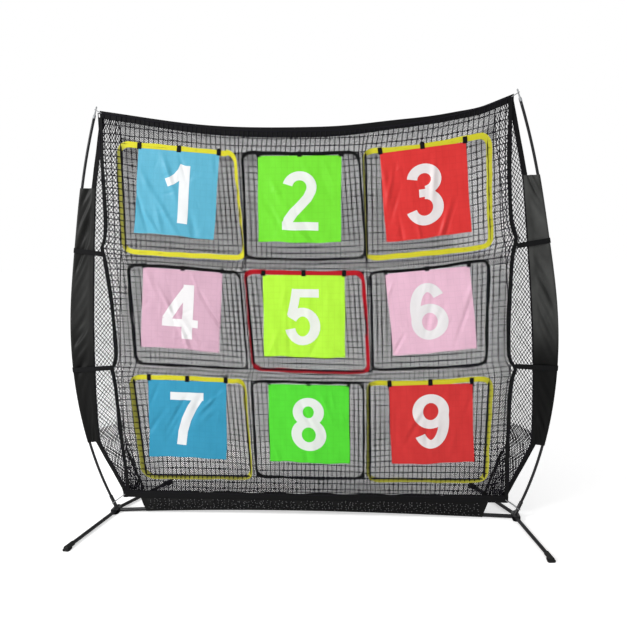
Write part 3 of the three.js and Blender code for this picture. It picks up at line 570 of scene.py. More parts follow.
footX, footZ = leanBy(bow["footLean"])
headX, headZ = leanBy(-bow["headLean"])
mouth = (bow["seat"][0] + bow["socket"] * footX, bow["seat"][1] + bow["socket"] * footZ)
bowPoints = (mouth, (mouth[0] + bow["footPull"] * footX, mouth[1] + bow["footPull"] * footZ),
             (bow["end"][0] - bow["headPull"] * headX, bow["end"][1] - bow["headPull"] * headZ),
             bow["end"])


def bowAt(t):
    a, b, c, d = (1 - t) ** 3, 3 * t * (1 - t) ** 2, 3 * t * t * (1 - t), t ** 3
    x = a * bowPoints[0][0] + b * bowPoints[1][0] + c * bowPoints[2][0] + d * bowPoints[3][0]
    z = a * bowPoints[0][1] + b * bowPoints[1][1] + c * bowPoints[2][1] + d * bowPoints[3][1]
    return x, z


def poleGive(z):
    # the net's pull flattens the upper half of the bow
    return bow["give"] * math.exp(-((z - bow["giveAt"]) / bow["giveReach"]) ** 2)


def poleAt(height):
    low, high = 0.0, 1.0
    for _ in range(36):
        middle = (low + high) / 2
        if bowAt(middle)[1] < height:
            low = middle
        else:
            high = middle
    x, z = bowAt(low)
    x1, z1 = bowAt(low + 0.001)
    x, x1 = x - poleGive(z), x1 - poleGive(z1)
    long = math.hypot(x1 - x, z1 - z)
    return x, (x1 - x) / long, (z1 - z) / long


def makePole(side, sign):
    deselectAll()
    bpy.ops.curve.primitive_bezier_curve_add()
    pole = bpy.context.object
    pole.name = f"bowPole_{side}"
    curve = pole.data
    curve.dimensions = "3D"
    curve.bevel_depth = bow["radius"]
    curve.bevel_resolution = 6
    curve.resolution_u = 48
    curve.use_fill_caps = True
    curve.splines[0].bezier_points.add(1)
    points = curve.splines[0].bezier_points
    spots = [bow["seat"], bowPoints[0], bowPoints[3]]
    stepX, stepZ = footX * 0.02, footZ * 0.02
    for point, (x, z) in zip(points, spots):
        point.handle_left_type = point.handle_right_type = "FREE"
        point.co = (sign * x, poleY, z)
    points[0].handle_left = points[0].co
    points[0].handle_right = (sign * (bow["seat"][0] + stepX), poleY, bow["seat"][1] + stepZ)
    points[1].handle_left = (sign * (mouth[0] - stepX), poleY, mouth[1] - stepZ)
    points[1].handle_right = (sign * bowPoints[1][0], poleY, bowPoints[1][1])
    points[2].handle_left = (sign * bowPoints[2][0], poleY, bowPoints[2][1])
    points[2].handle_right = points[2].co
    bpy.ops.object.convert(target="MESH")
    pole = bpy.context.object
    for vertex in pole.data.vertices:
        vertex.co.x -= sign * poleGive(vertex.co.z)
    closeSeam(pole, 0.00005)
    bpy.ops.object.shade_smooth()
    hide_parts(f"pole_{side}")
    return finishPiece(pole, rod)


for side, sign in sides:
    makePole(side, sign)
print("poles ready")


# How the nets hang between the top band and the crossbar

hung = {"bandHalf": 1.033, "bandLow": 1.9685, "bandWidth": 0.045, "sag": 0.119, "curve": 2.3,
        "skew": 0.0246, "slack": 0.017, "slackX": 0.6, "slackZ": 0.22, "slackAt": 1.341,
        "hemLow": 0.084, "hemHigh": 0.122, "targetHalf": 1.022, "binding": 0.017, "lap": 0.014,
        "drawIn": 0.045, "drawInStart": 0.73, "outermost": 0.9215, "wingLow": 0.392,
        "wingHigh": 1.745}
holeSizes = {"columnPitch": 0.63, "rowPitch": 0.582, "width": 0.583, "height": 0.506, "top": 1.885,
             "corner": 0.044}
strapHeights = {"upper": 1.425, "lower": 0.79}
halfHole = holeSizes["width"] / 2


def skewAt(x):
    return -hung["skew"] * x * (1 - (x / hung["bandHalf"]) ** 4)


def sagRise(x):
    return hung["sag"] * abs(x / hung["bandHalf"]) ** hung["curve"]


def bandRise(x):
    return sagRise(x) + skewAt(x)


def smoothStep(value, low, high):
    share = min(1, max(0, (value - low) / (high - low)))
    return share * share * (3 - 2 * share)


def hang(x, z):
    share = z / hung["bandLow"]
    follow = max(0.0, share * (0.72 + 0.28 * max(0, share) ** 20))
    below = max(0.0, 1 - z / hung["drawInStart"])
    inner = max(0.0, hung["targetHalf"] - abs(x)) / (hung["targetHalf"] - hung["outermost"])
    pull = min(abs(x) / hung["outermost"], inner)
    level = smoothStep(z, hung["hemHigh"], hung["wingLow"])
    slack = hung["slack"] * math.exp(-(x / hung["slackX"]) ** 2
                                     - ((z - hung["slackAt"]) / hung["slackZ"]) ** 2)
    return (x - math.copysign(1, x) * hung["drawIn"] * below * pull,
            z + sagRise(x) * follow + skewAt(x) * level - slack)


# the holes are pulled out of square: millimetres each corner moves, from the upper left clockwise
holeGive = {1: (-12, 0, 0, -5, 30, -14, -14, -18), 2: (-13, 0, -8, 0, 24, -4, -8, -10),
            3: (-22, 0, -12, -4, 6, -8, -21, -6), 4: (-4, -3, 4, -8, 29, -20, 13, -8),
            5: (-17, 0, 6, 0, 32, -18, 14, -14), 6: (-4, -4, -4, 4, -10, 0, 0, -6),
            7: (-12, 0, 4, -4, 16, -8, 2, -12), 8: (-4, -4, 2, 4, 5, -8, 0, -8),
            9: (-18, 0, 6, 4, 14, -10, -10, -8)}


def betweenMarks(value, marks):
    k = 0
    while k < len(marks) - 2 and value > marks[k + 1]:
        k += 1
    return k, min(1, max(0, (value - marks[k]) / (marks[k + 1] - marks[k])))


def cornerGive(i, j):
    if i in (0, 7) or j in (0, 7):
        return 0, 0
    number = (2 - (j - 1) // 2) * 3 + (i - 1) // 2 + 1
    right, upper = (i - 1) % 2, (j - 1) % 2
    place = ((3, 0), (2, 1))[right][upper]
    return holeGive[number][2 * place] / 1000, holeGive[number][2 * place + 1] / 1000


def netGive(x, z):
    i, across = betweenMarks(x, columnMarks)
    j, up = betweenMarks(z, rowMarks)
    move = [0, 0]
    for di, dj, share in ((0, 0, (1 - across) * (1 - up)), (1, 0, across * (1 - up)),
                          (0, 1, (1 - across) * up), (1, 1, across * up)):
        dx, dz = cornerGive(i + di, j + dj)
        move[0] += dx * share
        move[1] += dz * share
    return move


def netHeight(sign, height):
    # the net's own height that hangs level with a strap
    z = height
    for _ in range(8):
        z += height - hang(sign * hung["targetHalf"], z)[1]
    return z


# how far the straps draw the net's sides out: middle and reach above
strapPulls = {-1: (("upper", 0.03, 0.04), ("lower", 0.032, 0.03)),
              1: (("upper", 0.044, 0.075), ("lower", 0.042, 0.03))}


def sidePull(sign, z):
    pull = 0.0
    if sign < 0:
        pull = 0.019 * smoothStep(z, 0.95, 1.35) - 0.022 * (1 - smoothStep(z, 0.15, 0.5))
    for name, most, above in strapPulls[sign]:
        away = z - pullHeights[sign, name]
        pull += most * (math.exp(-away / above) if away > 0
                        else 0.4 * math.exp(away / 0.035) + 0.6 * math.exp(away / 0.22))
    return pull


pullHeights = {(sign, name): netHeight(sign, height + 0.008 * (name == "upper"))
               for _, sign in sides for name, height in strapHeights.items()}


def pulledEdge(x, z):
    # the straps draw the sides of the target net outward beside them
    sign = -1 if x < 0 else 1
    nearEdge = smoothStep(abs(x), 0.93, hung["targetHalf"])
    hx, hz = hang(x, z)
    dx, dz = netGive(x, z)
    return hx + dx + sign * nearEdge * sidePull(sign, z), hz + dz


columnMarks = [-hung["targetHalf"]]
for x in (-1, 0, 1):
    columnMarks += [x * holeSizes["columnPitch"] - halfHole, x * holeSizes["columnPitch"] + halfHole]
columnMarks.append(hung["targetHalf"])
rowMarks = [hung["hemHigh"] - 0.01]
for row in (2, 1, 0):
    top = holeSizes["top"] - row * holeSizes["rowPitch"]
    rowMarks += [top - holeSizes["height"], top]
rowMarks.append(hung["bandLow"] + 0.024)

holes = []
for row in range(3):
    for column in range(3):
        top = holeSizes["top"] - row * holeSizes["rowPitch"]
        holes.append({"number": row * 3 + column + 1, "x": (column - 1) * holeSizes["columnPitch"],
                      "top": top, "middle": top - holeSizes["height"] / 2})

layer = {"target": poleY - 0.0038, "backstop": poleY + 0.0038, "ribbon": poleY - 0.0066,
         "flag": poleY - 0.0082}
edgeTurns = ((0.084, 1.022), (0.122, 1.022), (0.392, 1.161), (1.15, 1.128), (1.745, 1.103),
             (2.109, 1.033))


def edgeX(z):
    share = min(1, max(0, (z - hung["wingLow"]) / (hung["wingHigh"] - hung["wingLow"])))
    rounded = 0.0245 * math.sin(math.pi * share ** 0.8)
    for (z0, x0), (z1, x1) in zip(edgeTurns, edgeTurns[1:]):
        if z <= z1 or z1 == edgeTurns[-1][0]:
            return x0 + (x1 - x0) * (z - z0) / (z1 - z0) + rounded


# Top band

band = {"thickness": 0.004, "steps": 90}


def bandPlace(x, v):
    # the band is stretched narrower towards its ends
    bulge = 0.0012 * math.sin(math.pi * v)
    wide = hung["bandWidth"] * (0.79 + 0.35 * math.exp(-((x - 0.05) / (0.75 if x < 0.05 else 0.5)) ** 2))
    lift = (0.0095 * math.exp(-((x - 0.45) / 0.2) ** 2) - 0.007 * math.exp(-((x - 0.87) / 0.08) ** 2)
            - 0.0045 * math.exp(-((x + 0.5) / 0.3) ** 2))
    return Vector((x, poleY - bulge,
                   hung["bandLow"] + hung["bandWidth"] - wide * (1 - v) + bandRise(x) + lift))


topBand = gridSheet("topBand", evenly(-hung["bandHalf"], hung["bandHalf"], band["steps"]),
                    evenly(0, 1, 6), bandPlace, (2 * hung["bandHalf"], hung["bandWidth"]))
thicken(topBand, band["thickness"])
smooth(topBand)
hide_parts("top_band")
finishPiece(topBand, webbing)


# Target net

target = {"twine": 0.0068, "waver": 0.0013}
shaky = random.Random(11)


def cellLines(marks, counts):
    lines = [marks[0]]
    for (low, high), count in zip(zip(marks, marks[1:]), counts):
        lines += evenly(low, high, count)[1:]
    return lines


netColumns = cellLines(columnMarks, (4, 24, 2, 24, 2, 24, 4))
netRows = cellLines(rowMarks, (3, 17, 3, 17, 3, 17, 3))


def inHole(x, z):
    return any(abs(x - hole["x"]) < halfHole and abs(z - hole["middle"]) < holeSizes["height"] / 2
               for hole in holes)


def targetPlace(x, z):
    hx, hz = pulledEdge(x, z)
    sway = target["waver"]
    return Vector((hx + shaky.uniform(-sway, sway), layer["target"] + shaky.uniform(-0.001, 0.001),
                   hz + shaky.uniform(-sway, sway)))


finishNet(twineNet("targetNet", netColumns, netRows, targetPlace, target["twine"], isOpen=inHole),
          "target_net")


# Bindings and hem of the target net

def bindingPlace(sign):
    def place(u, z):
        x = sign * (hung["targetHalf"] - hung["binding"] * u)
        hx, hz = pulledEdge(sign * hung["targetHalf"], z)
        ripple = 0.002 * math.sin(z * 31 + sign)
        hx += x - sign * hung["targetHalf"]
        return Vector((hx + 0.002 * math.sin(z * 17), layer["target"] + ripple, hz))
    return place


for side, sign in sides:
    us = evenly(0, 1, 3) if sign < 0 else evenly(1, 0, 3)
    binding = gridSheet(f"sideBinding_{side}", us, evenly(hung["hemLow"], hung["bandLow"] + 0.01, 70),
                        bindingPlace(sign), (hung["binding"], 1.9))
    thicken(binding, 0.0036)
    smooth(binding)
    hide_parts("target_net")
    finishPiece(binding, webbing)


def hemPlace(x, v):
    hx, hz = hang(x, hung["hemLow"] + (hung["hemHigh"] - hung["hemLow"]) * v)
    wave = 0.0013 * math.sin(x * 24) * (0.4 + v)
    return Vector((hx, layer["target"] - 0.0004 + wave * 0.5, hz + wave))


hem = gridSheet("bottomHem", evenly(-hung["targetHalf"] + 0.002, hung["targetHalf"] - 0.002, 110),
                evenly(0, 1, 4), hemPlace, (2.04, 0.038))
thicken(hem, 0.003)
smooth(hem)
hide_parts("target_net")
finishPiece(hem, webbing)
print("target net ready")


# Backstop net, bagging away behind

# the twine differs by region for tone alone, set for the look from the front: a real net has one twine
backstop = {"mesh": 0.0145, "topTwine": 0.0034, "lightTwine": 0.0046, "upperTwine": 0.0056,
            "lowTwine": 0.0054, "cornerTwine": 0.005,
            "backTwine": 0.0062, "sideFine": {"left": 0.0017, "right": 0.0013},
            "sideTwine": {"left": 0.005, "right": 0.0043}, "sideFrom": 0.93, "depth": 0.42,
            "edge": 0.978, "power": 7, "topFrom": 1.9, "upperFrom": 1.7, "lightFrom": (0.78, 1.36),
            "lowTo": 0.3, "cornerTo": 0.46, "sway": 0.0008, "sink": 0.012}
bagLow, bagHigh = hung["hemHigh"], hung["bandLow"] + 0.018


def bagShare(value):
    return 1 - min(1.0, abs(value)) ** backstop["power"]


def evenAlong(curve, mesh):
    # parameters from -1 to 1 that step the curve in even lengths
    fine = evenly(-1, 1, 2000)
    total = [0.0]
    for a, b in zip(fine, fine[1:]):
        (x0, y0), (x1, y1) = curve(a), curve(b)
        total.append(total[-1] + math.hypot(x1 - x0, y1 - y0))
    count = round(total[-1] / mesh)
    picks, k = [], 0
    for step in range(count + 1):
        goal = total[-1] * step / count
        while k < len(total) - 2 and total[k + 1] < goal:
            k += 1
        share = (goal - total[k]) / max(1e-9, total[k + 1] - total[k])
        picks.append(fine[k] + (fine[k + 1] - fine[k]) * min(1, share))
    return picks


def backstopPoint(u, down, loose=0.0):
    z = bagLow + (bagHigh - bagLow) * (down + 1) / 2
    lifted = z + bandRise(u * hung["bandHalf"]) * (down + 1) / 2
    depth = backstop["depth"] * bagShare(u / backstop["edge"]) * bagShare(down)
    return Vector((u * edgeX(lifted), layer["backstop"] + depth + loose, lifted))


halfBag = (bagHigh - bagLow) / 2
bagColumns = evenAlong(lambda u: (u * 1.1, backstop["depth"] * bagShare(u)), backstop["mesh"])
bagRows = evenAlong(lambda v: (v * halfBag, backstop["depth"] * bagShare(v)), backstop["mesh"])
swaying = random.Random(5)


def backstopPlace(u, down):
    spot = backstopPoint(u * backstop["edge"], down)
    give = bagShare(u) * bagShare(down)
    spot.y += -backstop["sink"] * give * (1 + math.sin(u * 17 + down * 5)) / 2
    spot.x += swaying.uniform(-backstop["sway"], backstop["sway"])
    spot.z += swaying.uniform(-backstop["sway"], backstop["sway"]) - backstop["sink"] * give
    return spot


inner = backstop["sideFrom"]
bagColumns = [-inner] + [u for u in bagColumns if abs(u) < inner - 0.004] + [inner]
bagMesh = halfTurned(gridSheet("backstopNet", bagColumns, bagRows, backstopPlace))
for name, thick, count, test in (
        ("Top", "topTwine", 2, lambda spot: spot.z > backstop["topFrom"] + bandRise(spot.x)),
        ("Light", "lightTwine", 1, lambda spot: (spot.x > backstop["lightFrom"][0]
                                                 and spot.z > backstop["lightFrom"][1])),
        ("Upper", "upperTwine", 2,
         lambda spot: spot.z > backstop["upperFrom"] + 0.6 * bandRise(spot.x)),
        ("Low", "lowTwine", 2, lambda spot: spot.z < backstop["lowTo"])):
    for piece in cutInBands(takeFaces(bagMesh, f"backstop{name}", test), count):
        finishNet(madeOfTwine(piece, backstop[thick]), "backstop_net")
for piece in cutInBands(bagMesh, 5):
    finishNet(madeOfTwine(piece, backstop["backTwine"]), "backstop_net")
# towards the sides a wide mesh is doubled with a light one, for tone: a real net is single here
for side, sign in sides:
    for name, thick, knot, across, up in (("Wide", backstop["sideTwine"][side], 0.0042, 7, 76),
                                          ("Light", backstop["sideFine"][side], 0, 13, 130)):
        us = evenly(inner, 1, across) if sign > 0 else evenly(-1, -inner, across)
        panel = halfTurned(gridSheet(f"backstopSide{name}_{side}", us, evenly(-1, 1, up), backstopPlace))
        if name == "Light":
            corner = takeFaces(panel, f"backstopCorner_{side}",
                               lambda spot: spot.z < backstop["cornerTo"])
            finishNet(madeOfTwine(corner, backstop["cornerTwine"]), "backstop_net")
        finishNet(madeOfTwine(panel, thick, knot), "backstop_net")


def backstopBinding(sign):
    def place(u, down):
        spot = backstopPoint(sign * (1 - (1 - backstop["edge"]) * u), down)
        spot.y = layer["backstop"] + 0.0012 * math.sin(down * 40)
        return spot
    return place


for side, sign in sides:
    us = evenly(0, 1, 3) if sign < 0 else evenly(1, 0, 3)
    edging = gridSheet(f"backstopBinding_{side}", us, evenly(-1.04, 1.02, 80), backstopBinding(sign),
                       (0.025, 2.0))
    thicken(edging, 0.0032)
    smooth(edging)
    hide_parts("backstop_net")
    finishPiece(edging, webbing)
print("backstop ready")


# Pocket nets behind the holes

pocket = {"twine": 0.0068, "across": 24, "down": 17, "depth": 0.2, "rim": 0.934, "power": 2.8,
          "lean": 0.05, "droop": 0.034}
pocketHalfX = halfHole + 0.01
pocketHalfZ = holeSizes["height"] / 2 + 0.01
pocketColumns = evenly(-1, 1, pocket["across"])
pocketRows = evenly(-1, 1, pocket["down"])


def makePocket(hole):
    loose = random.Random(hole["number"])

    def place(u, v):
        x = hole["x"] + u * pocketHalfX * pocket["rim"] * 1.02
        z = hole["middle"] + v * pocketHalfZ * pocket["rim"] * 1.02
        hx, hz = pulledEdge(x, z)
        full = (1 - abs(u) ** pocket["power"]) * (1 - abs(v) ** pocket["power"])
        sagging = 0.012 * full + pocket["droop"] * (1.4 - z) * full
        hx += pocket["lean"] * (x - 0.35) * full
        return Vector((hx + loose.uniform(-0.0012, 0.0012),
                       poleY - 0.0005 + (pocket["depth"] - 0.006) * full,
                       hz - sagging + loose.uniform(-0.0012, 0.0012)))

    finishNet(twineNet(f"pocketNet_{hole['number']}", pocketColumns, pocketRows, place,
                       pocket["twine"]), f"pocket_{hole['number']}")


for hole in holes:
    makePocket(hole)
print("pockets ready")


# Ribbons round the holes, and the tabs the flags hang by

ribbon = {"width": 0.026, "narrow": 0.019, "thickness": 0.002, "perSide": 26, "perCorner": 7}
# each side of a ribbon, from the top clockwise: degrees it is turned on edge, and 1 if it is sewn
# on behind the netting, which then crosses it
ribbonSides = {1: ((5, 0), (46, 0), (12, 0), (0, 1)), 2: ((38, 0), (56, 0), (62, 0), (60, 0)),
               3: ((5, 0), (10, 0.25), (12, 0), (60, 1)), 4: ((28, 0), (66, 0), (62, 0), (66, 0.5)),
               5: ((8, 0), (42, 0), (46, 0.4), (60, 0.3)), 6: ((42, 0), (50, 0), (56, 0), (68, 1)),
               7: ((5, 0), (40, 0.3), (50, 1), (36, 1)), 8: ((30, 0), (68, 0), (68, 0), (63, 0)),
               9: ((5, 0), (28, 0.6), (50, 0.7), (42, 1))}
tab = {"width": 0.022, "drop": 0.004, "short": 0.7, "thickness": 0.0012, "out": 0.0014}
flagSize = {"width": 0.42, "height": 0.424, "thickness": 0.0008, "fold": 0.009, "grid": 84}


def ribbonStations(hole):
    # points round the rounded outline: place, outward direction, turn on edge, share behind the net
    radius = holeSizes["corner"]
    halfZ = holeSizes["height"] / 2
    look = ribbonSides[hole["number"]]
    corners = ((1, 1, 90), (1, -1, 0), (-1, -1, 270), (-1, 1, 180))
    stations = []
    for number, (sx, sz, start) in enumerate(corners):
        this, after = look[number], look[(number + 1) % 4]
        cx, cz = hole["x"] + sx * (halfHole - radius), hole["middle"] + sz * (halfZ - radius)
        for k in range(ribbon["perCorner"] + 1):
            share = k / ribbon["perCorner"]
            angle = math.radians(start - 90 * share)
            ease = smoothStep(share, 0, 1)
            stations.append((cx + radius * math.cos(angle), cz + radius * math.sin(angle),
                             math.cos(angle), math.sin(angle),
                             this[0] + (after[0] - this[0]) * ease,
                             this[1] + (after[1] - this[1]) * ease))
        sx, sz, _ = corners[(number + 1) % 4]
        ex, ez = hole["x"] + sx * (halfHole - radius), hole["middle"] + sz * (halfZ - radius)
        outX, outZ = math.cos(math.radians(start - 90)), math.sin(math.radians(start - 90))
        for k in range(1, ribbon["perSide"]):
            share = k / ribbon["perSide"]
            stations.append((cx + (ex - cx) * share + radius * outX,
                             cz + (ez - cz) * share + radius * outZ, outX, outZ, *after))
    stations.append(stations[0])
    return stations


def makeRibbon(hole):
    number = hole["number"]
    stations = ribbonStations(hole)
    wide = ribbon["width"] if number % 2 else ribbon["narrow"]

    def place(k, v):
        k = int(round(k))
        x, z, outX, outZ, twist, behind = stations[k]
        lean = math.radians(min(80, twist * (1 + 0.16 * math.sin(k * 0.43 + number)) + 3 * math.sin(k)))
        across = wide * v
        wander = 0.0022 * math.sin(k * 0.21 + number * 2) + 0.001 * math.sin(k * 0.9)
        out = across * math.cos(lean) + wander
        out += 0.42 * behind * wide
        hx, hz = pulledEdge(x + outX * out, z + outZ * out)
        y = layer["ribbon"] + (layer["target"] + 0.0052 - layer["ribbon"]) * behind
        return Vector((hx, y - across * math.sin(lean), hz))

    strip = gridSheet(f"ribbon_{number}", evenly(0, len(stations) - 1, len(stations) - 1),
                      evenly(-0.5, 0.5, 3), place, (2.1, wide))
    # the share behind the net marks where the ribbon gets its painted shade
    shaded = strip.data.attributes.new("shaded", "FLOAT", "POINT")
    for loop, uv in zip(strip.data.loops, strip.data.uv_layers[0].data):
        shaded.data[loop.vertex_index].value = stations[round(uv.uv[0] / 2.1 * (len(stations) - 1))][5]
    closeSeam(strip)
    thicken(strip, ribbon["thickness"])
    smooth(strip)
    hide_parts(f"trim_{number}")
    color = "red" if number == 5 else ("yellow" if number % 2 else "black")
    return finishPiece(strip, ribbonLooks[color])


# millimetres each flag hangs off the middle of its hole, its lower edge hangs off to the right of
# its upper one, and it is longer than the others
flagHang = {1: (3, 3, 4), 2: (-12, 0, 6), 3: (-34, -14, 14), 4: (-4, 4, -8), 5: (-6, 7, -2),
            6: (-14, 8, -6), 7: (-7, 3, -8), 8: (6, 7, -9), 9: (2, -5, -12)}


def flagPlace(hole):
    middle = hole["x"] + flagHang[hole["number"]][0] / 1000
    left = hang(middle - flagSize["width"] / 2, hole["top"] - 0.01)
    right = hang(middle + flagSize["width"] / 2, hole["top"] - 0.01)
    slope = math.atan2(right[1] - left[1], right[0] - left[0])
    return (left[0] + right[0]) / 2, (left[1] + right[1]) / 2, slope


def onFlagFrame(hole, x, y, z):
    # x along the flag's top edge, z up from it
    px, pz, slope = flagPlace(hole)
    return Vector((px + x * math.cos(slope) - z * math.sin(slope), y,
                   pz + x * math.sin(slope) + z * math.cos(slope)))


def makeTabs(hole):
    number = hole["number"]
    strips = []
    front = layer["ribbon"] - 0.001 - tab["out"]
    path = [(-tab["drop"] - 0.006, front + 0.0004), (-tab["drop"], front), (0.006, front - 0.0006),
            (0.016, front - 0.0004), (0.021, front + 0.0002), (0.0238, front + 0.0014),
            (0.0246, front + 0.003), (0.0238, front + 0.0046)]
    for k in (-1, 0, 1):
        offset = k * (flagSize["width"] / 2 - 0.003)
        lean = 0.03 * math.sin(number * 2.1 + k * 1.7)

        def place(u, j):
            z, y = path[int(round(j))]
            if number % 2 == 0 and z > 0:
                z *= tab["short"]
            return onFlagFrame(hole, offset + u * tab["width"] + z * lean, y, z)

        strips.append(gridSheet("tab", evenly(-0.5, 0.5, 3), evenly(0, len(path) - 1, len(path) - 1),
                                place, (tab["width"], 0.034)))
    tabs = joinPieces(strips, f"flagTabs_{number}")
    thicken(tabs, tab["thickness"])
    smooth(tabs)
    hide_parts(f"trim_{number}")
    return finishPiece(tabs, webbing)


for hole in holes:
    makeRibbon(hole)
    makeTabs(hole)
print("ribbons ready")


# Flags

# long folds run along "lean" degrees from upright; the rest are small creases
clothFolds = {1: (-24, 1.2), 2: (-35, 0.7), 3: (6, 1.1), 4: (-28, 1.3), 5: (14, 0.5), 6: (20, 0.8),
              7: (30, 1.0), 8: (-12, 0.7), 9: (16, 0.7)}
creaseSets = {}
for number, (lean, depth) in clothFolds.items():
    pen = random.Random(40 + number)
    creases = []
    for k in range(44):
        large = k < 9
        creases.append({
            "x": pen.uniform(-0.21, 0.21), "z": pen.uniform(-0.42, 0.0),
            "angle": math.radians(lean + pen.uniform(-16, 16)) if large else pen.uniform(-1.5, 1.5),
            "length": pen.uniform(0.1, 0.24) if large else pen.uniform(0.025, 0.09),
            "width": pen.uniform(0.008, 0.018) if large else pen.uniform(0.004, 0.009),
            "height": depth * pen.uniform(0.004, 0.009) * pen.choice((-1, 1)) if large
            else depth * pen.uniform(-0.002, 0.0022)})
    creaseSets[number] = creases


def flagDepth(number, x, z):
    # how far the cloth stands forward of its hanging line
    fall = -z / flagSize["height"]
    wave = (1 + math.sin(x / flagSize["width"] * 2.6 * math.pi + number)) / 2
    depth = flagSize["fold"] * wave * fall * (1 - fall * 0.35)
    for crease in creaseSets[number]:
        dx, dz = x - crease["x"], z - crease["z"]
        along = dx * math.sin(crease["angle"]) + dz * math.cos(crease["angle"])
        reach = abs(along) / crease["length"]
        if reach < 1:
            across = dx * math.cos(crease["angle"]) - dz * math.sin(crease["angle"])
            depth += crease["height"] * (1 - reach) ** 1.3 * math.exp(-(across / crease["width"]) ** 2)
    return depth * min(1, fall * 5)


def flagPoint(hole, x, z, ahead=0.0):
    number = hole["number"]
    fall = -z / flagSize["height"]
    y = layer["flag"] - flagDepth(number, x, z) - ahead
    _, lean, longer = flagHang[number]
    x += 0.0022 * math.sin(z * 19 + number) * fall + lean / 1000 * fall
    z -= longer / 1000 * fall
    z += (0.0028 * math.sin(x * 15 + number * 2) + 0.0014 * math.sin(x * 43)) * fall
    return onFlagFrame(hole, x, y, z - tab["drop"] - 0.0007)


def makeFlag(hole):
    number = hole["number"]

    def place(x, z):
        return flagPoint(hole, x, z)

    half = flagSize["width"] / 2
    flag = gridSheet(f"flagCloth_{number}", evenly(-half, half, flagSize["grid"]),
                     evenly(-flagSize["height"], 0, flagSize["grid"]), place,
                     (flagSize["width"], flagSize["height"]))
    thicken(flag, flagSize["thickness"])
    smooth(flag, 60)
    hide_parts(f"flag_{number}")
    return finishPiece(flag, flagLooks[number], f"flag_{number}")


for hole in holes:
    makeFlag(hole)
print("flags ready")


# Numbers printed on the flags

digit = {"scale": 0.00097, "ahead": 0.0009, "thickness": 0.0003, "stress": 1.15}


def arc(cx, cz, rx, rz, start, end, count=24):
    return [(cx + rx * math.cos(math.radians(a)), cz + rz * math.sin(math.radians(a)))
            for a in evenly(start, end, count)]


# each number is a set of broad strokes: (width, closed, points) in millimetres from its middle
strokes = {
    1: [(47, False, [(24, 150), (24, -150)]),
        (42, False, [(20, 150), (8, 118), (-16, 88), (-42, 68), (-72, 56)])],
    2: [(45, False, arc(-2, 68, 63, 58, 168, -28)
         + [(40, 14), (6, -22), (-34, -60), (-62, -98), (-70, -128)]),
        (42, False, [(-95, -128), (95, -128)])],
    3: [(46, False, arc(4, 72, 61, 54, 174, -84)), (47, False, arc(0, -62, 69, 64, 84, -166)),
        (38, False, [(-24, 8), (20, 8)])],
    4: [(50, False, [(40, 150), (40, -150)]), (43, False, [(-98, -62), (98, -62)]),
        (45, False, [(36, 130), (-24, 44), (-76, -46)])],
    5: [(44, False, [(-48, 128), (88, 128)]), (41, False, [(-30, 148), (-42, 80), (-60, 4)]),
        (47, False, arc(0, -49, 67, 77, 150, -168))],
    6: [(48, True, arc(0, -55, 68, 71, 0, 360, 40)), (48, False, arc(2, 0, 70, 126, 38, 196))],
    7: [(44, False, [(-92, 127), (92, 127)]),
        (46, False, [(66, 122), (28, 62), (-4, -6), (-24, -74), (-32, -150)])],
    8: [(47, True, arc(0, 68, 57, 57, 0, 360, 40)), (49, True, arc(0, -58, 66, 66, 0, 360, 40))],
}
strokes[9] = [(width, closed, [(-x, -z) for x, z in points]) for width, closed, points in strokes[6]]
digitShift = {1: (0.016, -0.003), 2: (0.003, -0.007), 3: (-0.007, -0.006), 4: (-0.003, -0.012),
              5: (-0.008, -0.004), 6: (-0.013, 0.002), 7: (-0.002, 0.004), 8: (-0.002, -0.002),
              9: (-0.002, 0.016)}


def strokeSlab(width, closed, points):
    # a flat strip along the points, raised to a slab so that strokes can be united
    count = len(points) - 1

    def place(k, v):
        i = int(round(k))
        before = points[i - 1] if i > 0 else (points[count - 1] if closed else points[0])
        after = points[i + 1] if i < count else (points[1] if closed else points[count])
        dx, dz = after[0] - before[0], after[1] - before[1]
        long = math.hypot(dx, dz)
        x = points[i][0] - dz / long * width * v * digit["stress"]  # uprights are bolder
        z = points[i][1] + dx / long * width * v
        return Vector((x * digit["scale"], 0, z * digit["scale"]))

    strip = gridSheet("stroke", list(range(count + 1)), [-0.5, 0.5], place)
    if closed:
        closeSeam(strip)
    thicken(strip, 0.01)
    return strip


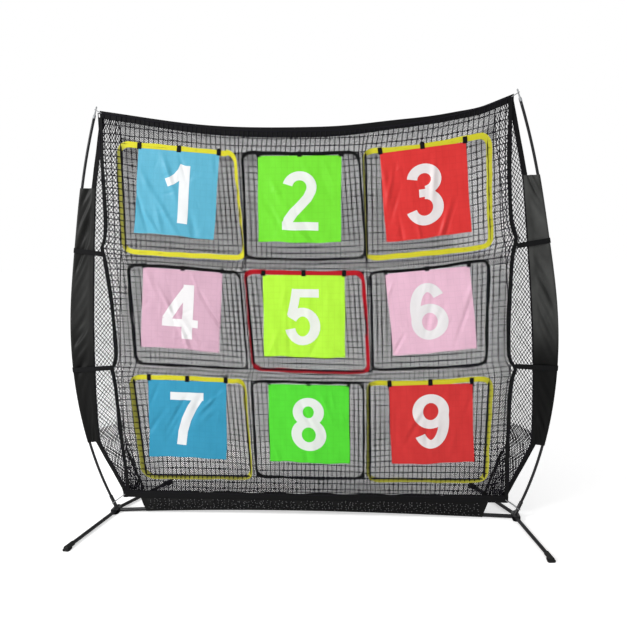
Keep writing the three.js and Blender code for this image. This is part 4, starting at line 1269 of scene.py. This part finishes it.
def makeDigit(hole):
    number = hole["number"]
    slabs = [strokeSlab(*stroke) for stroke in strokes[number]]
    body = slabs[0]
    for other in slabs[1:]:
        union = body.modifiers.new("unite", "BOOLEAN")
        union.operation = "UNION"
        union.solver = "EXACT"
        union.object = other
        applyModifiers(body)
        bpy.data.objects.remove(other)
    body.name = f"number_{number}"
    # keep the front outline only, cut it into small faces, then lay it on the cloth
    pick(body)
    bpy.ops.object.mode_set(mode="EDIT")
    bpy.ops.mesh.select_all(action="SELECT")
    bpy.ops.mesh.bisect(plane_co=(0, 0, 0), plane_no=(0, 1, 0), clear_outer=True, clear_inner=False,
                        use_fill=False)
    bpy.ops.mesh.select_all(action="SELECT")
    bpy.ops.mesh.bisect(plane_co=(0, -0.004, 0), plane_no=(0, 1, 0), clear_outer=True, use_fill=False)
    shiftX, shiftZ = digitShift[number]
    middle = {0: shiftX, 2: shiftZ - flagSize["height"] / 2}
    for axis, low, high in ((0, -flagSize["width"] / 2, flagSize["width"] / 2),
                            (2, -flagSize["height"], 0)):
        for level in evenly(low, high, flagSize["grid"]):  # cut where the cloth's own grid runs
            level -= middle[axis]
            if abs(level) > 0.156:
                continue
            spot, way = [0, 0, 0], [0, 0, 0]
            spot[axis], way[axis] = level, 1
            bpy.ops.mesh.select_all(action="SELECT")
            bpy.ops.mesh.bisect(plane_co=spot, plane_no=way)
    bpy.ops.object.mode_set(mode="OBJECT")
    bpy.ops.object.mode_set(mode="EDIT")
    bpy.ops.mesh.select_mode(type="FACE")
    bpy.ops.object.mode_set(mode="OBJECT")
    for face in body.data.polygons:
        face.select = abs(face.normal.y) < 0.5
    bpy.ops.object.mode_set(mode="EDIT")
    bpy.ops.mesh.delete(type="FACE")
    bpy.ops.mesh.select_all(action="SELECT")
    bpy.ops.mesh.remove_doubles(threshold=0.0002)
    bpy.ops.object.mode_set(mode="OBJECT")
    for vertex in body.data.vertices:
        vertex.co = flagPoint(hole, vertex.co.x + middle[0], vertex.co.z + middle[2], digit["ahead"])
    thicken(body, digit["thickness"])
    smooth(body, 60)
    return finishPiece(body, printedWhite(number), f"flag_{number}")


for hole in holes:
    makeDigit(hole)
print("numbers ready")


# Cloth wings on the poles

wing = {"low": 0.392, "high": 1.745, "lap": 0.02, "ring": 0.00915, "turn": 305, "fold": 0.0105,
        "thickness": 0.0014, "start": 0.5}


def wingPlace(sign):
    innerY = layer["backstop"] - 0.0015 - 0.0003 - 0.00075  # half a net, a gap, half a cloth

    def place(s, z):
        x, ax, az = poleAt(z)

        def onRing(turn):
            across = wing["ring"] * math.sin(turn)
            return Vector((x + az * across, poleY - wing["ring"] * math.cos(turn), z - ax * across))

        if s >= wing["start"]:
            spot = onRing((s - wing["start"]) / (1 - wing["start"]) * math.radians(wing["turn"]))
        else:
            share = s / wing["start"]
            spot = Vector((edgeX(z) - wing["lap"], innerY, z)).lerp(onRing(0), share)
            free = max(0, share - 0.2) * max(0, 0.97 - share) * 7
            slant = z + share * (0.2 + 0.06 * math.sin(z * 7 + sign))
            folds = (math.sin(slant / 0.034 + 1.2 * math.sin(slant * 3.1))
                     + 0.6 * math.sin(slant / 0.0137 + 1.7 * math.sin(z * 5))
                     + 0.7 * math.sin(slant / 0.083 + 2 + sign))
            uneven = 0.55 + 0.45 * math.sin(slant * 9.7 + 2 * sign)
            spot.y += wing["fold"] * free * (0.4 + folds * 0.8 * uneven)
        spot.x *= sign
        return spot
    return place


for side, sign in sides:
    us = evenly(0, wing["start"], 26) + evenly(wing["start"], 1, 20)[1:]
    if sign < 0:
        us = us[::-1]
    cloth = gridSheet(f"wingCloth_{side}", us, evenly(wing["low"], wing["high"], 150), wingPlace(sign),
                      (0.15, 1.36))
    thicken(cloth, wing["thickness"])
    smooth(cloth, 60)
    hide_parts(f"wing_{side}")
    finishPiece(cloth, wingCloth[side])
print("wings ready")


# Straps from the target net to the poles

strap = {"width": 0.025, "thickness": 0.002, "heights": strapHeights, "ring": 0.0108, "end": 175}


def makeStrap(name, side, sign):
    height = strap["heights"][name]
    x, ax, az = poleAt(height)
    tilt = math.atan2(ax, az)
    reach = (x - abs(pulledEdge(sign * hung["targetHalf"], pullHeights[sign, name])[0])
             + hung["binding"] - 0.004)
    middle = strap["ring"] + strap["thickness"] / 2
    path = [(-reach + 0.024 * share, -0.0056 - strap["thickness"] / 2) for share in evenly(0, 1, 3)]
    path += [(-reach + 0.024 + (reach - 0.024) * share,
              -0.0066 - (middle - 0.0066) * share) for share in evenly(0, 1, 10)[1:-1]]
    path += [(middle * math.cos(math.radians(a)), middle * math.sin(math.radians(a)))
             for a in evenly(-90, strap["end"], 30)]

    def place(k, v):
        px, py = path[int(round(k))]
        z = strap["width"] * v
        return Vector((sign * (x + px * math.cos(tilt) + z * math.sin(tilt)), poleY + py,
                       height - px * math.sin(tilt) + z * math.cos(tilt)))

    steps = list(range(len(path)))
    if sign < 0:
        steps = steps[::-1]
    band = gridSheet(f"strap_{name}_{side}_webbing", steps, evenly(-0.5, 0.5, 4), place, (0.22, 0.025))
    thicken(band, strap["thickness"])
    smooth(band)
    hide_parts(f"strap_{name}_{side}")
    return finishPiece(band, webbing)


for side, sign in sides:
    for name in strap["heights"]:
        makeStrap(name, side, sign)


# Sleeve that ties the nets to the crossbar

sleeve = {"half": 0.895, "flare": 0.028, "radius": 0.01125, "wrap": 0.4, "seam": 0.86, "axis": 0.0133,
          "topY": 0.00125, "topZ": 0.098, "ripple": 0.0042, "thickness": 0.0014}


def sleevePlace(s, x):
    side = 1 if s >= 0 else -1
    rising = min(1, max(0, (abs(s) - sleeve["wrap"]) / (sleeve["seam"] - sleeve["wrap"])))
    lapped = max(0, (abs(s) - sleeve["seam"]) / (1 - sleeve["seam"]))
    angle = min(abs(s), sleeve["wrap"]) / sleeve["wrap"] * math.radians(100) * side
    gather = abs(math.sin(x / 0.031)) + 0.5 * math.sin(x / 0.012 + s * 3) ** 2
    ripple = sleeve["ripple"] * gather * math.sin(math.pi * rising)
    y = sleeve["radius"] * math.sin(angle) * (1 - rising) + side * (sleeve["topY"] * rising + ripple)
    z = ((sleeve["axis"] - sleeve["radius"] * math.cos(angle)) * (1 - rising)
         + (hung["hemLow"] - 0.002) * rising + (sleeve["topZ"] - hung["hemLow"] + 0.002) * lapped)
    reach = sleeve["half"] + sleeve["flare"] * rising
    return Vector((x * reach / sleeve["half"], poleY + y, z + crossbarRise(x) * (1 - rising)))


wrap = gridSheet("crossbarSleeve", evenly(1, -1, 44), evenly(-sleeve["half"], sleeve["half"], 220),
                 sleevePlace, (0.2, 1.79))
thicken(wrap, sleeve["thickness"])
smooth(wrap, 60)
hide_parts("crossbar_sleeve")
finishPiece(wrap, sleeveCloth)


gathering = random.Random(23)


def gatheredPlace(x, v):
    # the nets' lower edge, bunched in front of the sleeve
    waver = 0.003 * math.sin(x * 37) + 0.002 * math.sin(x * 91 + v * 4) + gathering.uniform(-0.005, 0.005)
    y = poleY - 0.0155 + 0.0075 * v + 0.0012 * math.sin(x * 160)
    return Vector((x + gathering.uniform(-0.007, 0.007), y,
                   0.02 + 0.056 * v + waver + crossbarRise(x) * (1 - v)))


gathered = twineNet("gatheredNet", evenly(-0.87, 0.87, 84), evenly(0, 1, 4), gatheredPlace, 0.0024,
                    0.003)
# the knots get the painted glints
for piece, look in zip(gathered, (twine, paintedGlintTwine)):
    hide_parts("crossbar_sleeve")
    finishPiece(piece, look)
print("sleeve ready")


# Tapes across the lower corners

tape = {"width": 0.013, "thickness": 0.003}
for side, sign in sides:
    topX, topZ = hang(hung["targetHalf"] - hung["binding"], 0.35)
    lowX, lowZ = hang(hung["targetHalf"] - hung["binding"] - 0.075, hung["hemHigh"] + 0.004)

    def tapePlace(u, v):
        x = topX - 0.008 + (lowX + 0.01 - topX + 0.008) * v
        z = topZ + (lowZ - topZ) * v
        return Vector((sign * (x + tape["width"] * u), poleY + 0.001 + 0.001 * math.sin(v * 9), z))

    band = gridSheet(f"cornerTape_{side}", evenly(-0.5, 0.5, 3), evenly(0, 1, 16) if sign < 0
                     else evenly(1, 0, 16), tapePlace, (tape["width"], 0.24))
    thicken(band, tape["thickness"])
    smooth(band)
    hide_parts(f"corner_tape_{side}")
    finishPiece(band, webbing)


# Elastic loops at the net's corners
for side, _ in sides:
    for which in ("top", "bottom"):
        finishPiece(dressCopy(f"elastic_{which}_{side}", 0), elastic)
print("small straps ready")


# Floor, lights and camera

def whiteFloor():
    # looks white to the camera, and still darkens where the net shades it
    material, nodes, links, shader = newMaterial("paleFloor", (0.93, 0.93, 0.93), 0.9, specular=0.1)
    path = nodes.new("ShaderNodeLightPath")
    glow = nodes.new("ShaderNodeMath")
    glow.operation = "MULTIPLY"
    glow.inputs[1].default_value = 0.5
    links.new(path.outputs["Is Camera Ray"], glow.inputs[0])
    shader.inputs["Emission Color"].default_value = (1, 1, 1, 1)
    links.new(glow.outputs["Value"], shader.inputs["Emission Strength"])
    return material


deselectAll()
bpy.ops.mesh.primitive_plane_add(size=60, location=(0, 0, 0))
floor = bpy.context.object
floor.name = "floor"
floor.data.materials.append(whiteFloor())

world = bpy.data.worlds.new("studio")
bpy.context.scene.world = world
world.use_nodes = True
tree = world.node_tree
sky = tree.nodes["Background"]
sky.inputs["Color"].default_value = (1, 1, 1, 1)
sky.inputs["Strength"].default_value = 0.58
seen = tree.nodes.new("ShaderNodeBackground")
seen.inputs["Color"].default_value = (1, 1, 1, 1)
seen.inputs["Strength"].default_value = 1.0
path = tree.nodes.new("ShaderNodeLightPath")
choose = tree.nodes.new("ShaderNodeMixShader")
tree.links.new(path.outputs["Is Camera Ray"], choose.inputs["Fac"])
tree.links.new(sky.outputs["Background"], choose.inputs[1])
tree.links.new(seen.outputs["Background"], choose.inputs[2])
tree.links.new(choose.outputs["Shader"], tree.nodes["World Output"].inputs["Surface"])

deselectAll()
bpy.ops.object.light_add(type="AREA", location=(-4.4, -3.6, 3.6))
key = bpy.context.object
key.data.shape = "DISK"
key.data.size = 2.4
key.data.energy = 250
key.rotation_euler = (Vector((0, 0, 1.0)) - key.location).to_track_quat("-Z", "Y").to_euler()

view = {"place": (0.3755, -3.451 + poleY, 1.4684), "turn": 0.0969, "down": 0.1121, "roll": -0.0224,
        "lens": 36 * 680 / 627}
forward = Vector((-math.sin(view["turn"]) * math.cos(view["down"]),
                  math.cos(view["turn"]) * math.cos(view["down"]), -math.sin(view["down"])))
right = forward.cross(Vector((0, 0, 1))).normalized()
up = right.cross(forward)
rolledRight = right * math.cos(view["roll"]) + up * math.sin(view["roll"])
rolledUp = up * math.cos(view["roll"]) - right * math.sin(view["roll"])
bpy.ops.object.camera_add(location=view["place"])
camera = bpy.context.object
camera.rotation_euler = Matrix((rolledRight, rolledUp, -forward)).transposed().to_euler()
camera.data.sensor_width = 36
camera.data.lens = view["lens"]
bpy.context.scene.camera = camera
bpy.context.scene.view_settings.view_transform = "Standard"
print("stage ready")
